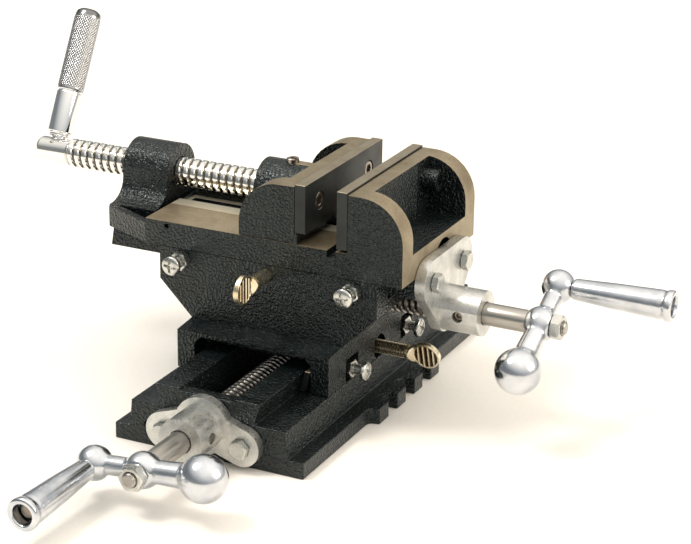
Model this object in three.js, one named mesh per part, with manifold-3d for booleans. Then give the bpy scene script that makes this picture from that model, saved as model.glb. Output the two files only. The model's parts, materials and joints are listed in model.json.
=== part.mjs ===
// A two-axis cross-slide vise for a milling or drilling table.
//
// A base with a dovetail way carries a saddle, the saddle carries a vise body on a second
// dovetail at right angles, and the vise body carries a movable jaw. Two cranked lead screws
// move the slides, and a clamp spindle with an L-shaped handle moves the jaw.
//
// Millimetres, +Z up. The origin is the centre of the base's underside, +X runs along the
// jaw opening and +Y along the base's way, away from the lower crank.

import * as THREE from 'three';
import { mergeVertices } from 'three/addons/utils/BufferGeometryUtils.js';
import Module from 'manifold-3d';

const wasm = await Module();
wasm.setup();

// ---------------------------------------------------------------------------------------
// Driving dimensions
// ---------------------------------------------------------------------------------------

const GAP = 0.3; // between two pieces that are bolted or rest together
const RUN_GAP = 0.4; // between two pieces that slide or turn on each other
const ROUND = 24; // sides of a large round piece
const SMALL_ROUND = 12; // sides of a fastener
const BOSS_ROUND = 36; // sides of a casting's large boss
const BALL_ROUND = 20; // sides of a crank's ball

// One dovetail section serves both slides: narrow at its root and wide at its tip.
const way = { rootHalf: 29, tipHalf: 32.5, height: 12.7 };
const gib = { thick: 3.6 };

const base = {
  length: 250,
  flangeHalf: 58.8,
  flangeThick: 9.6,
  blockHalfLow: 49.3,
  blockHalfTop: 47.9,
  blockTop: 25.7,
  channelHalf: 17,
  channelFloor: 11,
  frontWall: 8,
  wallDrop: 1.5,
  sideHoleX: -37.5,
  sideHoleRadius: 2.5,
};

// Clamping ears along both long edges, with open slots for the table bolts.
const ear = { reach: 65, length: 84, slots: 3, slotPitch: 23.7, slotWidth: 11.6, slotDepth: 9 };

const saddle = {
  centreY: -6.9,
  length: 133.8,
  halfWidth: 48,
  webTop: 50.2,
  plateHalf: 68.8,
  undercutTop: 70.5,
  shoulderDrop: 1.5,
  hollowDepth: 14,
  hollowHalf: 37,
  hollowTop: 46.5,
  nutPocketDepth: 4,
};

const vise = {
  jawWidth: 100,
  bottom: 90.8,
  bedTop: 105.5,
  bedLeft: -78,
  noseLeft: -113,
  noseHalf: 36,
  noseTop: 102.8,
  nosePocketDepth: 6,
  right: 83.6,
  bossLeft: -113,
  bossRight: -83,
  bossRadius: 16.5,
  footHalf: 31,
  footTop: 115.5,
  fixedFace: 43.5,
  castTop: 139.2,
  backRadius: 25.1,
  wallY: 13.5,
  wallX: 9.5,
  floorTop: 106.2,
  pocketBossRadius: 6.2,
  pocketBossReach: 9.5,
  railSlotHalf: 10.6,
  ledgeZ: 101,
  slotHalf: 5.9,
  keeperTop: 97,
  keeperHalf: 17,
  chipGroove: 5.7,
  chipGrooveDepth: 4,
  bedHoleX: -64,
  bedHoleZ: 102.8,
  bedHoleRadius: 1.5,
};

const plate = { thick: 6.5, movableBottom: 112, fixedBottom: 107, top: 140.4, screwSpread: 31.6, screwZ: 127 };

const jaw = {
  face: 24.4,
  lipSetback: 5.1,
  castTop: 139,
  backRadius: 25.5,
  depth: 41.6,
  bossLength: 50.4,
  bossRadius: 17,
  floorTop: 112,
};

const spindle = {
  axisZ: 118.6,
  radius: 8.5,
  threadLength: 133.6,
  hubRadius: 7.4,
  hubLength: 22,
  journalRadius: 6,
  journalLength: 34,
  handleAngle: 27.7,
  pinRadius: 1.7,
  pinOffset: 2.6, // the pin crosses the tenon a little outside the spindle's axis
};

const retaining = { at: 17, radius: 3.6, proud: 2.2 };

const handle = {
  tenonRadius: 4.2,
  collarRadius: 6.6,
  barRadius: 7.7,
  gripRadius: 8.1,
  gripStart: 36,
  length: 88.7,
};

const leadScrew = { radius: 8, journalRadius: 6.5, stubRadius: 4, grooveRadius: 5 };
const lowerScrew = { axisZ: 22, threadEnd: 220, hubAt: 67, wall: base.frontWall, armAngle: 4.8 };
const upperScrew = { axisZ: 64.5, threadEnd: 149.6, hubAt: 62.4, wall: 0, armAngle: 26.8 };
const screwNut = { half: 13.2, length: 28, below: 9.5, above: 11.5 };

const washer = { thick: 1.6, radius: 9.5 };
const bracket = { flangeThick: 6, bossRadius: 13.2, reach: 29.4, setScrewAt: 17.5, setScrewRadius: 3 };
const lowerBracket = { lobeX: 24, lobeZ: -8, lobeRadius: 11, neckRadius: 16.6 };
const upperBracket = { lobeX: 20.5, lobeZ: 21.5, lobeRadius: 13.5, neckRadius: 14.4 };

const crank = {
  hubBall: 10,
  gripBall: 9.5,
  weightBall: 13,
  gripArm: 29.6,
  weightArm: 36.1,
  thinArm: 5,
  thickArmHub: 6,
  thickArmBall: 7.4,
  flat: 7,
};

const grip = {
  smallRadius: 5.8,
  largeRadius: 9,
  length: 59,
  boltRadius: 3,
  headRadius: 4.6,
  mouthRadius: 5.5,
  mouthDepth: 9,
};

const lockScrew = {
  radius: 4,
  paddleRadius: 8.5,
  paddleThick: 3.2,
  neckHalf: 6.2,
  upperReach: 35.5,
  upperTurn: 90,
  lowerReach: 38,
  lowerTurn: 17,
};
const gibScrew = { radius: 3, headRadius: 5.6, headThick: 4, reach: 14.8 };
const hexNut = { flats: 10, thick: 5 };
const crankNut = { flats: 13, thick: 6 };
const bolt = { radius: 3, flats: 10, headThick: 4, length: 14 };
const socketScrew = { radius: 3, headRadius: 5, headThick: 5, socketFlats: 5, socketDepth: 2.6 };

// ---------------------------------------------------------------------------------------
// Values worked out from the driving dimensions
// ---------------------------------------------------------------------------------------

const DEG = Math.PI / 180;
const halfBase = base.length / 2;
const halfJaw = vise.jawWidth / 2;
const halfSaddle = saddle.length / 2;
const lowerWayTop = base.blockTop + way.height;
const lowerWayMid = base.blockTop + way.height / 2;
const saddleBottom = base.blockTop + RUN_GAP;
const lowerCavityTop = lowerWayTop + RUN_GAP;
const saddleTop = vise.bottom - RUN_GAP;
const upperWayTip = vise.bottom - way.height;
const upperWayMid = vise.bottom - way.height / 2;
const upperCavityFloor = upperWayTip - RUN_GAP;
const plateSeat = vise.fixedFace + plate.thick + GAP;
const tunnelRadius = leadScrew.radius + 2;
const upperNutX = 22;

// ---------------------------------------------------------------------------------------
// Solids: closed three.js geometries that manifold-3d can join and cut
// ---------------------------------------------------------------------------------------

const VX = new THREE.Vector3(1, 0, 0);
const VY = new THREE.Vector3(0, 1, 0);
const VZ = new THREE.Vector3(0, 0, 1);

// Local (u, v, w) of a section and its depth, turned to lie along a named axis.
const AXES = {
  x: new THREE.Matrix4().makeBasis(VY, VZ, VX),
  y: new THREE.Matrix4().makeBasis(VX, VZ, VY.clone().negate()),
  z: new THREE.Matrix4(),
};

function signedVolume(positions, triangles) {
  let volume = 0;
  const corner = [new THREE.Vector3(), new THREE.Vector3(), new THREE.Vector3()];
  for (let i = 0; i < triangles.length; i += 3) {
    corner.forEach((point, k) => point.fromArray(positions, triangles[i + k] * 3));
    volume += corner[0].dot(corner[1].clone().cross(corner[2])) / 6;
  }
  return volume;
}

// Merges shared vertices, drops the slivers at a lathe's poles and turns the faces outwards.
function solid(geometry) {
  geometry.deleteAttribute('normal');
  geometry.deleteAttribute('uv');
  const merged = mergeVertices(geometry, 1e-4);
  const positions = merged.getAttribute('position').array;
  const triangles = [];
  const index = merged.getIndex().array;
  for (let i = 0; i < index.length; i += 3) {
    const [a, b, c] = [index[i], index[i + 1], index[i + 2]];
    if (a !== b && b !== c && c !== a) triangles.push(a, b, c);
  }
  if (signedVolume(positions, triangles) < 0) triangles.reverse();
  const mesh = new wasm.Mesh({
    numProp: 3,
    vertProperties: Float32Array.from(positions),
    triVerts: Uint32Array.from(triangles),
  });
  return new wasm.Manifold(mesh);
}

function geometryOf(manifold) {
  const mesh = manifold.getMesh();
  const geometry = new THREE.BufferGeometry();
  geometry.setAttribute('position', new THREE.BufferAttribute(Float32Array.from(mesh.vertProperties), 3));
  geometry.setIndex(new THREE.BufferAttribute(Uint32Array.from(mesh.triVerts), 1));
  geometry.computeVertexNormals();
  return geometry;
}

function joined(...pieces) {
  return pieces.reduce((whole, piece) => whole.add(piece));
}

function cut(whole, ...tools) {
  return tools.reduce((rest, tool) => rest.subtract(tool), whole);
}

function box(x0, x1, y0, y1, z0, z1) {
  const geometry = new THREE.BoxGeometry(x1 - x0, y1 - y0, z1 - z0);
  geometry.translate((x0 + x1) / 2, (y0 + y1) / 2, (z0 + z1) / 2);
  return solid(geometry);
}

// Extrudes a shape along an axis. Its two coordinates are y,z for axis x, x,z for axis y
// and x,y for axis z.
function extruded(axis, shape, from, to, curveSegments = 8) {
  const depth = to - from;
  const geometry = new THREE.ExtrudeGeometry(shape, { depth, bevelEnabled: false, curveSegments });
  geometry.applyMatrix4(AXES[axis]);
  const shift = axis === 'y' ? to : from;
  geometry.translate(axis === 'x' ? shift : 0, axis === 'y' ? shift : 0, axis === 'z' ? shift : 0);
  return solid(geometry);
}

function prism(axis, points, from, to) {
  const shape = new THREE.Shape(points.map(([u, v]) => new THREE.Vector2(u, v)));
  return extruded(axis, shape, from, to);
}

function circle(u, v, radius) {
  const shape = new THREE.Shape();
  shape.absarc(u, v, radius, 0, 2 * Math.PI, false);
  return shape;
}

// A round bar along an axis through the point u,v of the plane across it.
function rod(axis, radius, from, to, u = 0, v = 0, sides = ROUND) {
  return extruded(axis, circle(u, v, radius), from, to, sides / 2);
}

function polygonBar(axis, radius, from, to, u, v, sides, turn = 0) {
  const points = [];
  for (let i = 0; i < sides; i += 1) {
    const angle = turn + (i * 2 * Math.PI) / sides;
    points.push([u + radius * Math.cos(angle), v + radius * Math.sin(angle)]);
  }
  return prism(axis, points, from, to);
}

function hexBar(axis, flats, from, to, u = 0, v = 0) {
  return polygonBar(axis, flats / Math.sqrt(3), from, to, u, v, 6, Math.PI / 6);
}

// A flat link with round ends between two points.
function link(axis, [ax, ay], [bx, by], radius, from, to) {
  const angle = Math.atan2(by - ay, bx - ax);
  const shape = new THREE.Shape();
  shape.absarc(bx, by, radius, angle - Math.PI / 2, angle + Math.PI / 2, false);
  shape.absarc(ax, ay, radius, angle + Math.PI / 2, angle + 1.5 * Math.PI, false);
  return extruded(axis, shape, from, to, 8);
}

// Turns a profile of [radius, height] points about the local Z axis.
function turned(points, sides = ROUND) {
  const profile = points.map(([radius, height]) => new THREE.Vector2(radius, height));
  const geometry = new THREE.LatheGeometry(profile, sides);
  geometry.rotateX(Math.PI / 2);
  return solid(geometry);
}

function ball(radius, x, y, z) {
  const geometry = new THREE.SphereGeometry(radius, BALL_ROUND, BALL_ROUND / 2);
  geometry.rotateX(Math.PI / 2);
  geometry.translate(x, y, z);
  return solid(geometry);
}

// A cone frustum or bar between two points on the local X axis.
function arm(startRadius, endRadius, startX, endX) {
  const geometry = new THREE.CylinderGeometry(endRadius, startRadius, Math.abs(endX - startX), 16);
  geometry.rotateZ(endX > startX ? -Math.PI / 2 : Math.PI / 2);
  geometry.translate((startX + endX) / 2, 0, 0);
  return solid(geometry);
}

// ---------------------------------------------------------------------------------------
// Materials
// ---------------------------------------------------------------------------------------

const finish = (color, roughness, metalness) => new THREE.MeshStandardMaterial({ color, roughness, metalness });
const blackEnamel = finish(0x2c3032, 0.42, 0.15);
const groundIron = finish(0x9a8f80, 0.38, 0.85);
const chrome = finish(0xd9dcdf, 0.12, 1);
const dieCast = finish(0xb2b1ab, 0.5, 0.8);
const polished = finish(0xcfd0d0, 0.2, 0.95);
const steel = finish(0x9d968c, 0.32, 0.9);
const threadSteel = finish(0x5d5850, 0.4, 0.85);
const zinc = finish(0xc6c7c2, 0.34, 0.85);
const yellowZinc = finish(0xb6a276, 0.4, 0.8);
const bronze = finish(0x9c7a43, 0.45, 0.85);

const add = (group, name, manifold, material) => {
  const mesh = new THREE.Mesh(geometryOf(manifold), material);
  mesh.name = name;
  group.add(mesh);
  return mesh;
};

// ---------------------------------------------------------------------------------------
// Dovetail sections
// ---------------------------------------------------------------------------------------

// The male way, from its root height to its tip height, widened by a margin on each side.
function wayPoints(rootZ, tipZ, leftMargin, rightMargin) {
  return [
    [-way.rootHalf - leftMargin, rootZ],
    [way.rootHalf + rightMargin, rootZ],
    [way.tipHalf + rightMargin, tipZ],
    [-way.tipHalf - leftMargin, tipZ],
  ];
}

// The flank's slope carried on past the root, so that a cavity breaks through its edge.
function wayCavityPoints(rootZ, tipZ, leftMargin, rightMargin) {
  const slope = (way.tipHalf - way.rootHalf) / way.height;
  const over = 2;
  const outward = Math.sign(tipZ - rootZ);
  const mouth = way.rootHalf - slope * over;
  const deep = way.tipHalf + slope * RUN_GAP;
  return [
    [-mouth - leftMargin, rootZ - outward * over],
    [mouth + rightMargin, rootZ - outward * over],
    [deep + rightMargin, tipZ + outward * RUN_GAP],
    [-deep - leftMargin, tipZ + outward * RUN_GAP],
  ];
}

// The gib lies against one flank, at side +1 or -1, between two heights.
function gibPoints(rootZ, tipZ, side) {
  const slope = (way.tipHalf - way.rootHalf) / way.height;
  const inner = way.rootHalf + RUN_GAP;
  const start = slope * RUN_GAP;
  const end = way.tipHalf - way.rootHalf;
  const outward = Math.sign(tipZ - rootZ);
  return [
    [side * (inner + start), rootZ + outward * RUN_GAP],
    [side * (inner + start + gib.thick), rootZ + outward * RUN_GAP],
    [side * (inner + end + gib.thick), tipZ],
    [side * (inner + end), tipZ],
  ];
}

const gibMargin = RUN_GAP + gib.thick + GAP;

// ---------------------------------------------------------------------------------------
// Base
// ---------------------------------------------------------------------------------------

function earSide(side) {
  const corner = 4;
  const half = ear.length / 2;
  const root = side * (base.flangeHalf - 4);
  const edge = side * base.flangeHalf;
  const tip = side * ear.reach;
  const outline = [
    [root, -half - corner],
    [edge, -half - corner],
    [edge + side * corner * 0.3, -half - corner * 0.3],
    [tip, -half],
    [tip, half],
    [edge + side * corner * 0.3, half + corner * 0.3],
    [edge, half + corner],
    [root, half + corner],
  ];
  return prism('z', outline, 0, base.flangeThick);
}

function slotTools(side) {
  const tools = [];
  for (let i = 0; i < ear.slots; i += 1) {
    const y = (i - (ear.slots - 1) / 2) * ear.slotPitch;
    const inner = side * (ear.reach - ear.slotDepth + ear.slotWidth / 2);
    tools.push(link('z', [inner, y], [side * (ear.reach + 10), y], ear.slotWidth / 2, -1, base.flangeThick + 1));
  }
  return tools;
}

function baseCasting() {
  const section = [
    [-base.flangeHalf, 0],
    [base.flangeHalf, 0],
    [base.flangeHalf, base.flangeThick],
    [base.blockHalfLow, base.flangeThick],
    [base.blockHalfTop, base.blockTop],
    [way.rootHalf, base.blockTop],
    [way.tipHalf, lowerWayTop],
    [-way.tipHalf, lowerWayTop],
    [-way.rootHalf, base.blockTop],
    [-base.blockHalfTop, base.blockTop],
    [-base.blockHalfLow, base.flangeThick],
    [-base.flangeHalf, base.flangeThick],
  ];
  const body = joined(prism('y', section, -halfBase, halfBase), earSide(1), earSide(-1));
  const wallBack = -halfBase + base.frontWall;
  const channel = box(
    -base.channelHalf, base.channelHalf, wallBack, halfBase + 1, base.channelFloor, lowerWayTop + 1,
  );
  const wallTop = box(
    -base.channelHalf, base.channelHalf, -halfBase - 1, wallBack + 1, lowerWayTop - base.wallDrop, lowerWayTop + 1,
  );
  const screwHole = rod('y', leadScrew.journalRadius + RUN_GAP, -halfBase - 1, wallBack + 1, 0, lowerScrew.axisZ);
  const sideHole = rod(
    'y', base.sideHoleRadius, -halfBase - 1, -halfBase + 10, base.sideHoleX, lowerScrew.axisZ - 10, SMALL_ROUND,
  );
  const boltHoles = [-1, 1].map((side) => rod(
    'y', bolt.radius + GAP, -halfBase - 1, -halfBase + bolt.length,
    side * lowerBracket.lobeX, lowerScrew.axisZ + lowerBracket.lobeZ, SMALL_ROUND,
  ));
  return cut(body, channel, wallTop, screwHole, sideHole, ...boltHoles, ...slotTools(1), ...slotTools(-1));
}

// ---------------------------------------------------------------------------------------
// Screw brackets: built with the mounting face at local z = 0 and the screw on local Z
// ---------------------------------------------------------------------------------------

function bracketBody(lobes, holeSide) {
  const flangeEnd = GAP + bracket.flangeThick;
  const left = [-lobes.lobeX, lobes.lobeZ];
  const right = [lobes.lobeX, lobes.lobeZ];
  const body = joined(
    link('z', [0, 0], left, lobes.lobeRadius, GAP, flangeEnd),
    link('z', [0, 0], right, lobes.lobeRadius, GAP, flangeEnd),
    rod('z', lobes.neckRadius, GAP, flangeEnd),
    rod('z', bracket.bossRadius, GAP, bracket.reach),
  );
  const filled = lobes.lobeZ > 0 ? body.add(link('z', left, right, lobes.lobeRadius, GAP, flangeEnd)) : body;
  const boltHoles = [left, right].map(([u, v]) => rod('z', bolt.radius + GAP, -1, flangeEnd + 1, u, v, SMALL_ROUND));
  const bore = rod('z', leadScrew.journalRadius + RUN_GAP, -1, bracket.reach + 1);
  const reach = holeSide * (bracket.bossRadius + 2);
  const setHole = rod(
    'x', bracket.setScrewRadius + GAP, Math.min(0, reach), Math.max(0, reach), 0, bracket.setScrewAt, SMALL_ROUND,
  );
  return cut(filled, bore, setHole, ...boltHoles);
}

// A short headless screw at the bottom of the bracket's side hole, its tip in the groove.
function setScrewBody(holeSide) {
  const tip = holeSide * (leadScrew.grooveRadius + RUN_GAP);
  const tail = holeSide * (bracket.bossRadius - 3);
  const dog = rod('x', 1.8, Math.min(tip, tail), Math.max(tip, tail), 0, bracket.setScrewAt, SMALL_ROUND);
  const shank = holeSide * (leadScrew.journalRadius + RUN_GAP + GAP);
  return dog.add(
    rod('x', bracket.setScrewRadius, Math.min(shank, tail), Math.max(shank, tail), 0, bracket.setScrewAt, SMALL_ROUND),
  );
}

function hexBolt() {
  const shank = rod('z', bolt.radius, GAP + bracket.flangeThick - bolt.length, bolt.headThick, 0, 0, SMALL_ROUND);
  const head = hexBar('z', bolt.flats, 0, bolt.headThick);
  return shank.intersect(rod('z', bolt.radius + 1, -bolt.length - 10, bolt.headThick)).add(head);
}

function bracketAssembly(prefix, lobes, holeSide) {
  const group = new THREE.Group();
  add(group, `${prefix}_bracket`, bracketBody(lobes, holeSide), dieCast);
  add(group, `${prefix}_bracket_set_screw`, setScrewBody(holeSide), steel);
  for (const [side, name] of [[-1, 'a'], [1, 'b']]) {
    const mesh = add(group, `${prefix}_bracket_bolt_${name}`, hexBolt(), zinc);
    mesh.position.set(side * lobes.lobeX, lobes.lobeZ, 2 * GAP + bracket.flangeThick);
  }
  return group;
}

// ---------------------------------------------------------------------------------------
// Cranked lead screw: mounting face at local z = 0, crank outwards along +Z
// ---------------------------------------------------------------------------------------

function leadScrewBody({ hubAt, wall, threadEnd }) {
  const threadStart = -(wall + 2 * GAP + washer.thick);
  const shoulder = hubAt - crank.flat - GAP;
  const stubEnd = hubAt + crank.flat + GAP + crankNut.thick + 2;
  const groove = bracket.setScrewAt;
  return turned([
    [0, -threadEnd],
    [leadScrew.radius - 1.5, -threadEnd],
    [leadScrew.radius, -threadEnd + 1.5],
    [leadScrew.radius, threadStart],
    [leadScrew.journalRadius, threadStart],
    [leadScrew.journalRadius, groove - 2.4],
    [leadScrew.grooveRadius, groove - 2.4],
    [leadScrew.grooveRadius, groove + 2.4],
    [leadScrew.journalRadius, groove + 2.4],
    [leadScrew.journalRadius, shoulder],
    [leadScrew.stubRadius, shoulder],
    [leadScrew.stubRadius, stubEnd - 0.6],
    [leadScrew.stubRadius - 0.6, stubEnd],
    [0, stubEnd],
  ]);
}

// The grip's ball is on local +X and the counterweight on -X, both in the hub's plane.
function crankArmBody() {
  const body = joined(
    ball(crank.hubBall, 0, 0, 0),
    ball(crank.gripBall, crank.gripArm, 0, 0),
    ball(crank.weightBall, -crank.weightArm, 0, 0),
    arm(crank.thinArm, crank.thinArm, 0, crank.gripArm),
    arm(crank.thickArmHub, crank.thickArmBall, 0, -crank.weightArm),
  );
  const far = crank.hubBall + 5;
  const wide = crank.hubBall;
  return cut(
    body,
    box(-wide, wide, -wide, wide, crank.flat, far),
    box(-wide, wide, -wide, wide, -far, -crank.flat),
    rod('z', leadScrew.stubRadius + GAP, -far, far),
    rod('z', grip.boltRadius + GAP, -far, far, crank.gripArm, 0, SMALL_ROUND),
    box(
      crank.gripArm - wide, crank.gripArm + wide, -wide, wide, crank.gripBall - 1, far,
    ),
  );
}

// The bolt stands in the grip's ball and ends in a head inside the sleeve's mouth.
function gripBoltBody() {
  const sleeveStart = crank.gripBall - 1 + RUN_GAP;
  const headBase = sleeveStart + grip.length - grip.mouthDepth + RUN_GAP;
  return joined(
    rod('z', grip.boltRadius, -crank.gripBall + 1, headBase + 1, crank.gripArm, 0, SMALL_ROUND),
    rod('z', grip.headRadius, headBase, headBase + 3.5, crank.gripArm, 0, SMALL_ROUND),
  );
}

// A tapered tube with a rolled lip at its wide end and a deep mouth for the bolt's head.
function gripSleeveBody() {
  const start = crank.gripBall - 1 + RUN_GAP;
  const end = start + grip.length;
  const bore = grip.boltRadius + RUN_GAP;
  const sleeve = turned([
    [bore, start],
    [grip.smallRadius - 0.8, start],
    [grip.smallRadius, start + 0.8],
    [grip.largeRadius - 0.4, end - 4.5],
    [grip.largeRadius, end - 3],
    [grip.largeRadius, end - 1.2],
    [grip.largeRadius - 1.2, end],
    [grip.mouthRadius, end],
    [grip.mouthRadius, end - grip.mouthDepth],
    [bore, end - grip.mouthDepth],
    [bore, start],
  ]);
  return sleeve;
}

function crankedScrew(prefix, dims) {
  const group = new THREE.Group();
  add(group, `${prefix}_lead_screw`, leadScrewBody(dims), threadSteel);
  const ringStart = -(dims.wall + GAP + washer.thick);
  const ring = cut(
    rod('z', washer.radius, ringStart, ringStart + washer.thick),
    rod('z', leadScrew.journalRadius + GAP, ringStart - 1, ringStart + washer.thick + 1),
  );
  add(group, `${prefix}_thrust_washer`, ring, steel);

  const handGroup = new THREE.Group();
  handGroup.position.z = dims.hubAt;
  group.add(handGroup);
  add(handGroup, `${prefix}_crank_arm`, crankArmBody(), polished);
  add(handGroup, `${prefix}_grip_bolt`, gripBoltBody(), steel);
  const sleeve = add(handGroup, `${prefix}_grip_sleeve`, gripSleeveBody(), polished);
  sleeve.position.x = crank.gripArm;
  const nutStart = crank.flat + GAP;
  const nut = cut(
    hexBar('z', crankNut.flats, nutStart, nutStart + crankNut.thick),
    rod('z', leadScrew.stubRadius + GAP, nutStart - 1, nutStart + crankNut.thick + 1),
  );
  add(handGroup, `${prefix}_crank_nut`, nut, zinc);
  return group;
}

// ---------------------------------------------------------------------------------------
// Small fasteners: the head or tail end points along local +Z, the seat is at z = 0
// ---------------------------------------------------------------------------------------

// A pan-head screw whose tip bears on the gib, a length below the seat face.
function gibScrewBody(depth) {
  const headStart = gibScrew.reach - gibScrew.headThick;
  const head = turned([
    [0, headStart],
    [gibScrew.headRadius, headStart],
    [gibScrew.headRadius, headStart + gibScrew.headThick * 0.45],
    [gibScrew.headRadius * 0.8, headStart + gibScrew.headThick * 0.85],
    [gibScrew.headRadius * 0.4, headStart + gibScrew.headThick],
    [0, headStart + gibScrew.headThick],
  ], SMALL_ROUND);
  return head.add(rod('z', gibScrew.radius, -depth, headStart + 0.5, 0, 0, SMALL_ROUND));
}

function lockNutBody() {
  return cut(
    hexBar('z', hexNut.flats, GAP, GAP + hexNut.thick),
    rod('z', gibScrew.radius + GAP, 0, hexNut.thick + 1, 0, 0, SMALL_ROUND),
  );
}

// A spade screw: a round flat paddle in the local XZ plane, with a neck that flares into it.
function thumbScrewBody(depth, reach) {
  const r = lockScrew.paddleRadius;
  const half = lockScrew.paddleThick / 2;
  const middle = reach - r;
  const neckStart = middle - r - 2.5;
  const neck = prism('y', [
    [-lockScrew.radius + 0.5, neckStart],
    [lockScrew.radius - 0.5, neckStart],
    [lockScrew.neckHalf, middle - lockScrew.neckHalf],
    [-lockScrew.neckHalf, middle - lockScrew.neckHalf],
  ], -half, half);
  return joined(
    rod('z', lockScrew.radius, -depth, neckStart + 3, 0, 0, SMALL_ROUND),
    neck,
    rod('y', r, -half, half, 0, middle),
  );
}

// A cap screw with a hexagon socket: its head's top is at z = 0 and its shank points down.
function socketScrewBody(length, headThick = socketScrew.headThick) {
  const body = joined(
    rod('z', socketScrew.headRadius, -headThick, 0, 0, 0, 16),
    rod('z', socketScrew.radius, -length, -headThick + 0.5, 0, 0, SMALL_ROUND),
  );
  return body.subtract(hexBar('z', socketScrew.socketFlats, -socketScrew.socketDepth, 1));
}

// Places a mesh so that its local Z points along a direction from a point.
function aim(mesh, direction, position) {
  mesh.quaternion.setFromUnitVectors(VZ, direction.clone().normalize());
  mesh.position.copy(position);
}

const at = (x, y, z) => new THREE.Vector3(x, y, z);

// A round hole with as few sides as a fastener.
function screwHole(axis, radius, from, to, u, v) {
  return rod(axis, radius, from, to, u, v, SMALL_ROUND);
}

// ---------------------------------------------------------------------------------------
// Saddle: its group's origin is over the base's origin, at the middle of the saddle
// ---------------------------------------------------------------------------------------

const lowerGibScrewY = halfSaddle * 0.55;
const upperGibScrewX = saddle.plateHalf - 14.8;
const lowerSeatX = saddle.halfWidth - saddle.nutPocketDepth;
const lowerGibFaceX = way.rootHalf + (way.tipHalf - way.rootHalf) / 2 + RUN_GAP + gib.thick;
const upperGibFaceY = -lowerGibFaceX;
const flankSlope = (way.tipHalf - way.rootHalf) / way.height;
const tipGap = 2 * GAP + flankSlope * lockScrew.radius; // a flat screw tip meets the sloping gib
const plateFrontY = -(halfJaw - 0.1);

function saddleCasting() {
  const h = saddle.halfWidth;
  const lower = prism('x', [
    [-halfSaddle, saddleBottom],
    [halfSaddle, saddleBottom],
    [halfSaddle, saddle.webTop - saddle.shoulderDrop],
    [-plateFrontY, saddle.webTop],
    [plateFrontY, saddle.webTop],
    [-halfSaddle, saddle.webTop - saddle.shoulderDrop],
  ], -h, h);
  const upper = prism('y', [
    [-h, saddle.webTop - 2],
    [h, saddle.webTop - 2],
    [h + 0.4, saddle.webTop],
    [saddle.plateHalf, saddle.undercutTop],
    [saddle.plateHalf, saddleTop],
    [-saddle.plateHalf, saddleTop],
    [-saddle.plateHalf, saddle.undercutTop],
    [-h - 0.4, saddle.webTop],
  ], plateFrontY, -plateFrontY);

  const lowerWay = prism(
    'y', wayCavityPoints(base.blockTop, lowerWayTop, RUN_GAP, gibMargin), -halfSaddle - 1, halfSaddle + 1,
  );
  const upperWay = prism(
    'x', wayCavityPoints(vise.bottom, upperWayTip, gibMargin, RUN_GAP), -saddle.plateHalf - 1, saddle.plateHalf + 1,
  );
  const hollow = prism('y', [
    [-saddle.hollowHalf, saddleBottom - 1],
    [saddle.hollowHalf, saddleBottom - 1],
    [saddle.hollowHalf, saddle.hollowTop - 4],
    [saddle.hollowHalf - 4, saddle.hollowTop],
    [-saddle.hollowHalf + 4, saddle.hollowTop],
    [-saddle.hollowHalf, saddle.hollowTop - 4],
  ], -halfSaddle - 1, -halfSaddle + saddle.hollowDepth);

  const tunnel = joined(
    rod('x', tunnelRadius, -saddle.plateHalf - 1, saddle.plateHalf + 1, 0, upperScrew.axisZ),
    box(
      -saddle.plateHalf - 1, saddle.plateHalf + 1, -tunnelRadius, tunnelRadius, upperScrew.axisZ, upperCavityFloor + 1,
    ),
  );
  const halfNut = screwNut.length / 2 + GAP;
  const nutPocket = box(
    upperNutX - halfNut, upperNutX + halfNut, -screwNut.half - GAP, screwNut.half + GAP,
    upperScrew.axisZ - screwNut.above - GAP, upperCavityFloor + 1,
  );

  const tools = [lowerWay, upperWay, hollow, tunnel, nutPocket];
  for (const side of [-1, 1]) {
    const y = side * lowerGibScrewY;
    tools.push(box(lowerSeatX, h + 1, y - 8, y + 8, saddleBottom - 1, lowerWayMid + 8));
    tools.push(screwHole('x', gibScrew.radius + GAP, way.rootHalf, h + 1, y, lowerWayMid));
    tools.push(screwHole('y', gibScrew.radius + GAP, plateFrontY - 1, -way.rootHalf, side * upperGibScrewX, upperWayMid));
  }
  tools.push(rod('x', lockScrew.radius + 3.6, lowerSeatX, h + 1, 0, lowerWayMid, 24));
  tools.push(screwHole('x', lockScrew.radius + RUN_GAP, way.rootHalf, h + 1, 0, lowerWayMid));
  tools.push(screwHole('y', lockScrew.radius + RUN_GAP, plateFrontY - 1, -way.rootHalf, 0, upperWayMid));

  // Screws that hold the two screw nuts: one goes down from the tunnel, one up from the way.
  const headGap = socketScrew.headRadius + GAP;
  const tunnelFloor = upperScrew.axisZ - tunnelRadius;
  const lowerHeadSeat = tunnelFloor - socketScrew.headThick - 1 - GAP;
  tools.push(rod('z', headGap, lowerHeadSeat, upperScrew.axisZ, 0, 0, 24));
  tools.push(screwHole('z', socketScrew.radius + GAP, lowerCavityTop - 1, lowerHeadSeat + 1, 0, 0));
  const upperHeadSeat = lowerCavityTop + socketScrew.headThick + 2 * GAP;
  tools.push(rod('z', headGap, lowerCavityTop - 1, upperHeadSeat, upperNutX, 0, 24));
  tools.push(screwHole('z', socketScrew.radius + GAP, upperHeadSeat - 1, upperScrew.axisZ, upperNutX, 0));
  return cut(joined(lower, upper), ...tools);
}

function screwNutBody(axis, z0, z1, axisZ) {
  const half = screwNut.length / 2;
  const across = screwNut.half;
  const block = axis === 'y'
    ? box(-across, across, -half, half, z0, z1)
    : box(-half, half, -across, across, z0, z1);
  return block.subtract(rod(axis, leadScrew.radius + RUN_GAP, -half - 1, half + 1, 0, axisZ));
}

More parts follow.
